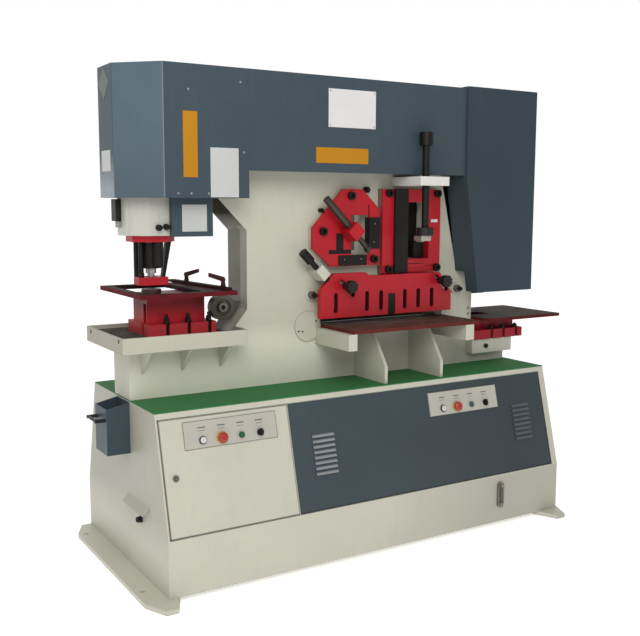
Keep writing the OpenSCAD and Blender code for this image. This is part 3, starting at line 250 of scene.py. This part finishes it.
def plastic(name, colour, rough, clear=0.0, shine=0.5):
    """Moulded plastic or glass, a little uneven, under a clear coat where asked."""
    g = Graph(name)
    tone = g.noise(45.0)
    final = g.mix(g.ramp(tone, 0.3, 0.7), scaled(colour, 0.85), colour)
    g.surface(final, g.ramp(tone, 0.3, 0.7, rough - 0.05, rough + 0.08))
    g.bsdf.inputs["Specular IOR Level"].default_value = shine
    g.bsdf.inputs["Coat Weight"].default_value = clear
    g.bump(g.noise(600.0, detail=2.0), 0.1, 0.0003, edge=0.001)
    return g.mat


# Cream pieces, with the shade and the gaps that the photo shows
cream_tone = (0.50, 0.49, 0.40)
grime = (0.30, 0.27, 0.19)
# Painted shade for gaps
gap_shade = (0.035, 0.032, 0.026)


def cream_paint(name, **rest):
    return paint(name, cream_tone, grime, rough=0.45, **rest)


CREAM = cream_paint("cream paint")
# Left end and right half of the foot in shade
CABINET = cream_paint("cabinet paint", zones=(
    spot((0.29, 0.28, 0.222), 0.78, x=(-0.10, 0.12), z=(0.24, 0.80), faces="-X", soft=0.08),
    spot((0.37, 0.36, 0.295), 0.85, x=(1.4, 2.4, 0.3), z=(0.0, 0.25), faces="-Y"),
))
throat = {"x": (0.44, 0.625), "faces": "-X"}
throat_foot = {"z": (0.90, 1.11), **throat}
# Painted light and shade on the frame's front and in its throat
FRAME = cream_paint("frame paint", edge=0.006, shine=0.2, zones=(
    spot((0.64, 0.645, 0.525), 0.85, x=(0.02, 1.0), z=(0.70, 0.98), faces="-Y", soft=0.04),  # lower jaw, painted light against the tray's shadow
    spot((0.11, 0.10, 0.082), 0.88, z=(0.95, 1.60), **throat),  # wall in painted shade
    spot((0.38, 0.37, 0.31), 0.8, y=(-0.10, -0.03), z=(1.10, 1.46), **throat),  # its front edge, painted lighter
    spot((0.075, 0.062, 0.048), 0.8, **throat_foot),  # foot: oily metal, and painted shade from the boss
    spot((0.50, 0.48, 0.40), 0.9, y=(-0.10, -0.01, 0.03), **throat_foot),  # its front edge, painted light
    spot((0.035, 0.030, 0.022), 0.95, x=(0.42, 0.605, 0.01), z=(1.475, 1.70, 0.04), faces="-X"),  # top in painted shade
    spot((0.018, 0.016, 0.013), 0.93, x=(0.965, 1.70), z=(0.985, 1.031)),  # strip under the hold-down in painted shade
))
CYLINDER = paint("cylinder paint", (0.475, 0.475, 0.42), (0.20, 0.185, 0.15), rough=0.4, amount=0.4, zones=(
    spot((0.30, 0.29, 0.24), 0.5, z=(1.55, 1.70, 0.02)),  # painted shade under the hood
))
# Oil in the tray and shade on its left side
TRAY = paint("tray paint", (0.455, 0.44, 0.36), grime, rough=0.45, ior=1.12, zones=(
    spot((0.028, 0.024, 0.018), 0.97, x=(-0.004, 0.54), y=(-0.227, 0.227), z=(0.98, 1.012), faces="+Z"),
    spot((0.31, 0.30, 0.245), 0.6, x=(-0.02, 0.55), faces="-X"),
))
# Painted shade in the gaps round the door
DOOR = cream_paint("door paint", zones=(
    spot(gap_shade, 0.9, z=(0.24, 0.262)),
    spot(gap_shade, 0.75, z=(0.705, 0.72)),
    spot(gap_shade, 0.85, x=(0.06, 0.0775)),
    spot(gap_shade, 0.6, x=(0.650, 0.66)),
))
# Painted light on the brackets' tops
BRACKET = cream_paint("bracket paint", zones=(spot((0.62, 0.62, 0.58), 0.9, z=(1.63, 1.70)),))


# Blue grey pieces: painted sheen on the hood's chamfer, painted shade on its end, and painted highlights on
# the louvres
def blue_paint(name, colour, dirt, shine, zones):
    return paint(name, colour, dirt, rough=0.38, amount=0.10, grain=0.35, shine=shine, zones=zones)


hood_z = (1.5, 2.2)
hood_end = {"x": (0.0, 0.0225), "faces": "-X"}
louvres = {"proud": (0.0012, 0.004)}
left_louvres = {"x": (0.6, 1.4), **louvres}
right_louvres = {"x": (1.5, 2.3), **louvres}
BLUE = blue_paint("blue grey paint", (0.049, 0.071, 0.085), (0.10, 0.12, 0.13), shine=0.14, zones=(
    spot((0.092, 0.130, 0.160), 0.9, x=(0.0, 0.1785), z=hood_z, faces="-X"),  # end and chamfer, painted sheen
    spot((0.066, 0.092, 0.112), 0.7, x=(0.0225, 0.1785), z=(1.5, 1.70, 0.1), faces="-X"),  # chamfer's foot, dimmer painted sheen
    spot((0.036, 0.052, 0.060), 0.95, z=hood_z, **hood_end),  # end in painted shade
    spot((0.36, 0.39, 0.42), 0.85, z=(1.5, 1.69, 0.07), **hood_end),  # end's foot, painted reflection
    spot((0.20, 0.24, 0.26), 0.8, x=(0.1755, 0.179, 0.001), y=(-0.30, -0.237), z=hood_z),  # worn chamfer's edge with a painted highlight
))
PANEL = blue_paint("front panel paint", (0.040, 0.058, 0.068), (0.09, 0.105, 0.11), shine=0.4, zones=(
    spot((0.026, 0.037, 0.042), 0.9, x=(1.5, 2.3), soft=0.4),  # right half in painted shade
    # Painted highlights on the louvre lips, dimmer on the right
    spot((0.28, 0.30, 0.31), 0.9, **left_louvres),
    spot((0.095, 0.108, 0.115), 0.85, **right_louvres),
    spot(gap_shade, 0.8, z=(0.24, 0.261)),  # painted shade in the gap at the foot
    spot(gap_shade, 0.7, x=(2.119, 2.14)),  # painted shade in the gap at the right
))
# The right cover in painted shade
SHADE = blue_paint("shaded blue grey paint", (0.031, 0.048, 0.061), (0.07, 0.085, 0.095), shine=0.2, zones=(
    spot((0.045, 0.067, 0.079), 0.9, x=(1.0, 3.0), faces="-X"),  # left side, painted lighter
))

# Red pieces
red_tone = (0.40, 0.007, 0.015)
red_dirt = (0.14, 0.006, 0.010)
slot_shade = (0.022, 0.012, 0.010)


def red_paint(name, colour=red_tone, zones=()):
    return paint(name, colour, red_dirt, rough=0.36, amount=0.2, shine=0.3, zones=zones)


RED = red_paint("red paint")
RED_ON_BOSS = red_paint("red paint on a cream boss", zones=(
    spot(cream_tone, 0.95, x=(0.90, 1.30), y=(-0.119, -0.090)),  # boss
    spot((0.16, 0.13, 0.11), 0.9, x=(1.30, 1.324), y=(-0.122, -0.090), faces="-X"),  # section plate's side, cream in painted shade
))
# Painted shade on the sides of the slots
HOLD = red_paint("red paint with dark slots", (0.41, 0.008, 0.016), zones=[
    spot(slot_shade, 0.95, x=(0.96, 1.69), z=(1.05, 1.15), faces=side) for side in ("-X", "+X")
])
bolster_zones = (
    spot((0.43, 0.045, 0.050), 0.7, x=(0.0, 0.6), z=(0.99, 1.05, 0.008)),  # foot, painted highlight
    spot((0.045, 0.003, 0.004), 0.94, x=(0.10, 0.50), z=(1.10, 1.2), soft=0.03),  # top in shade
)
BOLSTER = paint("shaded red paint", (0.43, 0.016, 0.026), (0.12, 0.008, 0.012),
                rough=0.4, amount=0.25, shine=0.15, zones=bolster_zones)
LEVER = paint("dark red paint", (0.040, 0.006, 0.006), (0.015, 0.007, 0.006),
              rough=0.4, amount=0.3, shine=0.25)
ROLLER = paint("oily grey paint", (0.105, 0.094, 0.078), (0.035, 0.03, 0.026),
               rough=0.4, amount=0.5, shine=0.3)

# Tables, in the tones of the worn top, the bare metal and the painted sides
TABLE = worn_plate("worn flat table", (0.082, 0.037, 0.027), (0.118, 0.071, 0.053), (0.115, 0.022, 0.018))
PUNCH_TABLE = worn_plate("worn punching table", (0.036, 0.020, 0.017), (0.062, 0.042, 0.036),
                         (0.10, 0.010, 0.013), inner={"x": (0.075, 0.478), "y": (-0.242, 0.242)})
FENCE = worn_plate("dark fence", (0.018, 0.012, 0.010), (0.032, 0.022, 0.019), (0.040, 0.010, 0.010))
NOTCH_TABLE = worn_plate("worn notching table", (0.036, 0.024, 0.017), (0.056, 0.041, 0.031),
                         (0.090, 0.014, 0.013))
NOTCH_RED = paint("shaded notching red", (0.29, 0.008, 0.016), (0.10, 0.006, 0.010),
                  rough=0.38, amount=0.25, shine=0.2)
MAT = paint("green mat", (0.042, 0.178, 0.058), (0.02, 0.06, 0.03),
            rough=0.7, amount=0.35, edge=0.001, shine=0.15)

# Steel, paler at the two tie bolts
tie_tone = (0.24, 0.22, 0.18)
coarse_lines = (1, 1, 40)
BOLT = metal("black bolts", (0.016, 0.015, 0.013), rough=0.45, streaks=coarse_lines, dark=0.4, zones=[
    spot(tie_tone, 0.9, x=x, y=(-0.130, -0.090), z=(1.0, 1.3)) for x in ((0.905, 0.973), (1.770, 1.834))
])
STEEL = metal("machined steel", (0.50, 0.49, 0.46))
# The die is darker than machined steel
DIE = metal("dark die steel", (0.085, 0.050, 0.043), rough=0.45, dark=0.7)
BLACK = metal("black steel", (0.017, 0.016, 0.014), rough=0.45, streaks=coarse_lines, dark=0.4)
KNIFE = paint("oiled knife steel", (0.013, 0.012, 0.011), (0.03, 0.026, 0.022),
              rough=0.45, amount=0.2, edge=0.001, shine=0.15)
SCREW = metal("oiled screw steel", (0.070, 0.058, 0.045), rough=0.42, dark=0.5)
BLADE = metal("blade steel", (0.014, 0.013, 0.012), rough=0.5, zones=(
    spot((0.33, 0.32, 0.28), 0.9, x=(1.10, 1.24), z=(1.25, 1.60)),
))
FOOT = metal("foot steel", (0.035, 0.032, 0.030), rough=0.45, zones=(
    spot((0.50, 0.49, 0.42), 0.95, z=(1.30, 1.408)),
))
LOCK = metal("dull lock steel", (0.22, 0.21, 0.19), rough=0.4)
GAUGE = metal("dark gauge steel", (0.25, 0.235, 0.19), rough=0.4)

# Controls, glass and plates
BLACK_PLASTIC = plastic("black plastic", (0.012, 0.011, 0.010), rough=0.42, shine=0.25)
RED_PLASTIC = plastic("red plastic", (0.37, 0.026, 0.022), rough=0.3, clear=0.1)
GREEN_PLASTIC = plastic("green plastic", (0.012, 0.090, 0.040), rough=0.3, clear=0.15)
BLUE_PLASTIC = plastic("teal plastic", (0.02, 0.065, 0.085), rough=0.28, clear=0.3)
WHITE_PLASTIC = plastic("white lens", (0.60, 0.60, 0.56), rough=0.2, clear=0.5)
GLASS = plastic("dark glass", (0.03, 0.03, 0.025), rough=0.15, clear=0.6)
MARK = plastic("grey marks", (0.13, 0.13, 0.12), rough=0.5)
YELLOW = plastic("yellow plastic", (0.50, 0.22, 0.02), rough=0.35)


def label_paint(name, colour, dirt, rough=0.4, amount=0.1, **rest):
    return paint(name, colour, dirt, rough, amount, edge=0.0005, **rest)


PLATE = label_paint("control plate", (0.43, 0.415, 0.352), (0.33, 0.32, 0.28))
ORANGE = label_paint("orange plate", (0.42, 0.182, 0.008), (0.40, 0.15, 0.02), rough=0.45, shine=0.15)
WHITE = label_paint("white plate", (0.62, 0.61, 0.60), (0.45, 0.45, 0.44))
CHART = label_paint("pale plate", (0.46, 0.465, 0.45), (0.30, 0.30, 0.30))
BADGE = label_paint("grey plate", (0.15, 0.165, 0.155), (0.08, 0.085, 0.08),
                    rough=0.5, amount=0.2, shine=0.15)
GREY = paint("grey enamel", (0.22, 0.23, 0.24), (0.12, 0.12, 0.12), rough=0.45, amount=0.3)

LOOK = {
    CABINET: "base_cabinet",
    CREAM: "pivot_pin shear_cylinder",
    CYLINDER: "punch_cylinder",
    TRAY: "drip_tray",
    DOOR: "cabinet_door",
    FRAME: "front_frame_plate rear_frame_plate shear_beam",
    BRACKET: "frame_brackets",
    PANEL: "front_cover_panel",
    BLUE: "slug_bin left_hood mid_cover",
    SHADE: "right_cover",
    RED: "cylinder_flange stripper_foot",
    NOTCH_RED: "notch_die_block",
    RED_ON_BOSS: "angle_shear_plate section_shear_plate",
    HOLD: "flat_holddown",
    BOLSTER: "die_bolster",
    LEVER: "front_clamp_lever rear_clamp_lever",
    ROLLER: "throat_boss",
    TABLE: "flat_shear_table",
    PUNCH_TABLE: "punch_table",
    FENCE: "fence",
    NOTCH_TABLE: "notch_table",
    MAT: "top_mat",
    STEEL: "punch_ram punch shear_ram",
    DIE: "punch_die",
    BOLT: "clamp_bolts",
    BLACK: "stripper_posts ram_coupling flat_screw section_screw",
    KNIFE: "fixed_blades",
    SCREW: "angle_screw angle_foot",
    BLADE: "beam_blades",
    FOOT: "section_foot",
    PLATE: "right_control_plate left_control_plate",
    LOCK: "door_lock",
    GAUGE: "oil_sight_gauge",
    BLACK_PLASTIC: "cable_gland bin_handle left_selector right_selector left_clamp_knob right_clamp_knob",
    RED_PLASTIC: "left_estop right_estop",
    GREEN_PLASTIC: "left_start_button",
    BLUE_PLASTIC: "right_start_button",
    GREY: "electrics_plate power_unit",
}
for material, names in LOOK.items():
    for name in names.split():
        nodes[name].data.materials.clear()
        nodes[name].data.materials.append(material)


# Extra pieces
def place(x, y, z):
    return Vector((x / MM + SHIFT, y / MM, z / MM))


def on_front(x, up, out):
    """A point x along the sloping front, up the slope and outwards from it."""
    y = FRONT_FOOT_Y + math.sin(LEAN) * up - math.cos(LEAN) * out
    z = FRONT_FOOT_Z + math.cos(LEAN) * up + math.sin(LEAN) * out
    return x, y, z


def piece(name, verts, faces, material, body, bevel):
    mesh = bpy.data.meshes.new(name)
    mesh.from_pydata(verts, [], faces)
    mesh.materials.append(material)
    obj = bpy.data.objects.new(name, mesh)
    scene.collection.objects.link(obj)
    if bevel:
        mod = obj.modifiers.new("round", "BEVEL")
        mod.width = bevel / MM
        mod.segments = 2
        mod.limit_method = "ANGLE"
    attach(obj, body)


# A box: its faces, and which end of x, y and z each corner takes
CUBE = [(0, 2, 3, 1), (4, 5, 7, 6), (0, 1, 5, 4), (2, 6, 7, 3), (0, 4, 6, 2), (1, 3, 7, 5)]
CORNERS = [(i & 1, i >> 1 & 1, i >> 2 & 1) for i in range(8)]


def block(name, x, y, z, material, body="machine", bevel=0.5):
    verts = [place(x[a], y[b], z[c]) for a, b, c in CORNERS]
    piece(name, verts, CUBE, material, body, bevel)


def disc(name, centre, axis, radius, height, material, body="machine", bevel=0.8, sides=24, turn=0.0):
    """A short round piece that starts at its centre and stands out along the axis."""
    out = Vector(axis).normalized()
    across = out.orthogonal().normalized()
    other = out.cross(across)
    start = place(*centre)
    verts = []
    for lift in (0.0, height / MM):
        for i in range(sides):
            angle = 2 * math.pi * i / sides + turn
            spoke = across * math.cos(angle) + other * math.sin(angle)
            verts.append(start + out * lift + spoke * radius / MM)
    faces = [tuple(range(sides - 1, -1, -1)), tuple(range(sides, 2 * sides))]
    faces += [(i, (i + 1) % sides, sides + (i + 1) % sides, sides + i) for i in range(sides)]
    piece(name, verts, faces, material, body, bevel)


# Plates without writing, rivets and screws on the covers
LABEL_THICK = 1.2
SCREW_INSET = 9


def plate(name, x, z, y, material, thick=LABEL_THICK, screws=False):
    block(name, x, (y - thick, y), z, material)
    if screws:
        columns = (x[0] + SCREW_INSET, x[1] - SCREW_INSET)
        rows = (z[0] + SCREW_INSET, z[1] - SCREW_INSET)
        for i, (px, pz) in enumerate([(a, b) for a in columns for b in rows]):
            disc(f"{name}_screw_{i}", (px, y - thick, pz), FRONT, 4, 1.6, STEEL, sides=12)


plate("hood_strip", (-853, -790), (1662, 1925), COVER_Y, ORANGE)
plate("hood_plate", (-734, -606), (1582, 1784), COVER_Y, CHART)
plate("cover_plate", (-166, 85), (1892, 2058), COVER_Y, WHITE, thick=2, screws=True)
plate("cover_strip", (-229, 47), (1735, 1803), COVER_Y, ORANGE)
plate("apron_plate", (-824, -712), (1440, 1552), APRON_Y, CHART)
plate("section_tag", (498, 538), (1468, 1482), PLATE_Y, WHITE, thick=1)
RIVETS = ((-877, 1597), (-820, 1597), (-743, 1597), (-828, 2010), (-595, 2053), (-581, 1768))
for i, (x, z) in enumerate(RIVETS):
    disc(f"hood_rivet_{i}", (x, COVER_Y, z), FRONT, 5, 2.5, GREY, sides=16)
disc("hood_diamond", (HOOD_END_X, 8, 2041), LEFT, 64, LABEL_THICK, BADGE,
     bevel=0.4, sides=4, turn=math.pi / 4)
block("hood_end_plate", (HOOD_END_X - LABEL_THICK, HOOD_END_X), (-55, 54), (1686, 1771),
      CHART)

# Fittings of the punch cylinder, the boss in the throat, a nut on a stripper post and holes in the tray
FITTING_HIGH = 12
HUB_HIGH = 2.5
block("limit_box", (-1056, -1032), (2, 60), (1482, 1574), BLACK_PLASTIC, bevel=3)
block("limit_foot", (-1046, -1032), (0, 42), (1456, 1481), GREY, bevel=2)
for i, (x, z) in enumerate(((-919, 1457), (-886, 1460))):
    disc(f"fitting_{i}", (x, FITTING_Y, z), FRONT, 13, FITTING_HIGH, BLACK)
    disc(f"fitting_cap_{i}", (x, FITTING_Y - FITTING_HIGH, z), FRONT, 10, 16, BLACK)
disc("boss_hub", (-580, BOSS_Y, 1096), FRONT, 21, HUB_HIGH, LOCK)
# A black disc is painted shade in the boss's bore
disc("boss_bore", (-580, BOSS_Y - HUB_HIGH, 1096), FRONT, 11, 0.6, BLACK)
disc("post_nut", (-962, -28, 1246), UP, 13.5, 20, BLACK, sides=6)
# Black discs are painted shade in the tray's holes
for i, (y, z) in enumerate(((176, 1001), (-188, 1005))):
    disc(f"tray_hole_{i}", (TRAY_END_X, y, z), LEFT, 9, 0.6, BLACK_PLASTIC, bevel=0)

# Bolts in the knives, bosses on the frame, a step and a slit on the section plate
KNIFE_THICK = 3
KNIFE_Y = PLATE_Y - KNIFE_THICK
KNIFE_BOLT_HIGH = 2
STEP_THICK = 3
STEP_Y = PLATE_Y - STEP_THICK
SLIT_THICK = 0.4
for i, (x, z) in enumerate(((159, 1464), (155, 1378), (-12, 1299), (81, 1300))):
    disc(f"knife_bolt_{i}", (x, KNIFE_Y, z), FRONT, 11, KNIFE_BOLT_HIGH, BLACK)
    # The grey sockets are painted highlight on the black bolts
    socket = (x, KNIFE_Y - KNIFE_BOLT_HIGH, z)
    disc(f"knife_socket_{i}", socket, FRONT, 4.5, 0.8, MARK, sides=6)
for i, (x, z) in enumerate(((-173, 1139), (690, 1130))):
    disc(f"tie_boss_{i}", (x, FACE_Y, z), FRONT, 26, 10.6, CREAM, bevel=2)
block("section_step", (343, 460), (STEP_Y, PLATE_Y), (1249, 1289), RED, bevel=1)
# A black sheet is painted shade in the slit
block("section_slit", (346, 456), (STEP_Y - SLIT_THICK, STEP_Y), (1266, 1269.5),
      BLACK, bevel=0)
disc("side_nut", (-122, FACE_Y, 1527), FRONT, 10, 25, BLACK)

# Stop block of the hold-down, screws of the pivot's cover and the gauge's glass
PIVOT_COVER_THICK = 10
PIVOT_COVER_Y = FACE_Y - PIVOT_COVER_THICK
GLASS_THICK = 2
block("stop_block", (212.5, 253.5), (-179, -152), (1034, 1132), BLACK, "flat_holddown", 1.5)
for i, (x, z) in enumerate(((-146, 1016), (-238, 973), (-218, 971))):
    disc(f"pivot_screw_{i}", (x, PIVOT_COVER_Y, z), FRONT, 4.5, 1.5, BLACK, sides=12)
block("gauge_glass", (660, 672), (GAUGE_Y - GLASS_THICK, GAUGE_Y), (115, 195),
      GLASS, bevel=1)

# Lamps, rings and plain marks on the two control plates
CONTROL_LONG = 420
CONTROL_HIGH = 112
CONTROL_THICK = 3
BUTTONS = 4
FIRST_BUTTON = 80
BUTTON_PITCH = 86
BUTTON_UP = 32
BEZEL_HIGH = 7
MARK_THICK = 0.3
RIM_THICK = 0.25
RIM = 2
# Name, half length, and lower and upper edge above the foot of the plate
MARKS = (("mark", 17, 81, 86), ("line", 15, 70, 72))
# Name, and reach along and up the plate
RIMS = (
    ("low", (0, CONTROL_LONG), (0, RIM)),
    ("top", (0, CONTROL_LONG), (CONTROL_HIGH - RIM, CONTROL_HIGH)),
    ("near", (0, RIM), (0, CONTROL_HIGH)),
    ("far", (CONTROL_LONG - RIM, CONTROL_LONG), (0, CONTROL_HIGH)),
)
# Name, place in the row, radius, start above the plate, height and material
RINGS = (
    ("bezel", 0, 16, 0, BEZEL_HIGH, BLACK_PLASTIC),
    ("lamp", 0, 13, BEZEL_HIGH, 3, WHITE_PLASTIC),
    ("stop_ring", 1, 25, 0, 4.4, YELLOW),
    ("start_ring", 2, 16, 0, 3, LOCK),
)


def mark(name, x, up, thick, body):
    """A flat mark on a control plate: x along the sloping front and up it."""
    out = (CONTROL_THICK + thick, CONTROL_THICK)
    verts = [place(*on_front(x[a], up[c], out[b])) for a, b, c in CORNERS]
    piece(name, verts, CUBE, MARK, body, bevel=0)


# Side, left end, foot of the plate up the slope, and body
for side, x0, up0, body in (("left", -939, 340, "door"), ("right", 292, 326, "machine")):
    row = [x0 + FIRST_BUTTON + BUTTON_PITCH * i for i in range(BUTTONS)]
    for i, x in enumerate(row):
        for kind, half, low, high in MARKS:
            mark(f"{side}_{kind}_{i}", (x - half, x + half), (up0 + low, up0 + high), MARK_THICK, body)
    for rim, x, up in RIMS:
        mark(f"{side}_edge_{rim}", (x0 + x[0], x0 + x[1]), (up0 + up[0], up0 + up[1]), RIM_THICK, body)
    for ring, i, radius, start, height, material in RINGS:
        centre = on_front(row[i], up0 + BUTTON_UP, CONTROL_THICK + start)
        disc(f"{side}_{ring}", centre, FRONT_NORMAL, radius, height, material, body)

# Stage
FLOOR_HALF = 30
floor_mesh = bpy.data.meshes.new("floor")
floor_corners = [(FLOOR_HALF * a, FLOOR_HALF * b, 0) for a, b in ((-1, -1), (1, -1), (1, 1), (-1, 1))]
floor_mesh.from_pydata(floor_corners, [], [(0, 1, 2, 3)])
floor = bpy.data.objects.new("floor", floor_mesh)
scene.collection.objects.link(floor)
ground = Graph("pale floor")
clouds = ground.ramp(ground.noise(2.0, detail=4.0), 0.3, 0.7)
grain = ground.mix(clouds, (0.92, 0.92, 0.92), (0.95, 0.95, 0.95))
ground.link(grain, MIX_RESULT, ground.bsdf, "Base Color")
ground.bsdf.inputs["Roughness"].default_value = 0.9
ground.bsdf.inputs["Emission Color"].default_value = (1, 1, 1, 1)
ground.bsdf.inputs["Emission Strength"].default_value = 0.4
floor.data.materials.append(ground.mat)

# Light: white behind the machine, dimmer behind the operator, and one lamp
BACKDROP = (0.25, 0.97, 0.0)  # from the operator towards the backdrop
world = bpy.data.worlds.new("studio")
scene.world = world
world.use_nodes = True
sky = world.node_tree
direction = sky.nodes.new("ShaderNodeTexCoord")
along = sky.nodes.new("ShaderNodeVectorMath")
along.operation = "DOT_PRODUCT"
along.inputs[1].default_value = BACKDROP
sky.links.new(direction.outputs["Generated"], along.inputs[0])
level = sky.nodes.new("ShaderNodeMapRange")
level.inputs["From Min"].default_value = -0.9
level.inputs["From Max"].default_value = 0.7
level.inputs["To Min"].default_value = 0.34
level.inputs["To Max"].default_value = 1.0
sky.links.new(along.outputs["Value"], level.inputs["Value"])
sky.nodes["Background"].inputs["Color"].default_value = (1, 1, 1, 1)
sky.links.new(level.outputs["Result"], sky.nodes["Background"].inputs["Strength"])

KEY_AT = Vector((-0.9, -3.5, 3.4))
KEY_TARGET = Vector((0.6, 0, 1.1))
key_data = bpy.data.lights.new("key", "AREA")
key_data.shape = "DISK"
key_data.size = 2.6
key_data.energy = 104
key = bpy.data.objects.new("key", key_data)
key.location = KEY_AT
key.rotation_euler = (KEY_TARGET - KEY_AT).to_track_quat("-Z", "Y").to_euler()
scene.collection.objects.link(key)

# Camera, solved from the machine's straight edges: degrees to the right, down and of roll
CAMERA_AT = (-1.1858, -3.6532, 1.5572)
CAMERA_RIGHT = 31.50
CAMERA_DOWN = 7.317
CAMERA_ROLL = 0.166
cam_data = bpy.data.cameras.new("camera")
cam = bpy.data.objects.new("camera", cam_data)
scene.collection.objects.link(cam)
scene.camera = cam
cam_data.sensor_width = 36
cam_data.lens = 50.588
cam_data.shift_y = 0.0018
cam_data.clip_end = 200
turn = Matrix.Rotation(math.radians(-CAMERA_RIGHT), 4, "Z")
tilt = Matrix.Rotation(math.radians(90 - CAMERA_DOWN), 4, "X")
roll = Matrix.Rotation(math.radians(CAMERA_ROLL), 4, "Z")
cam.matrix_world = Matrix.Translation(CAMERA_AT) @ turn @ tilt @ roll

scene.view_settings.view_transform = "Standard"
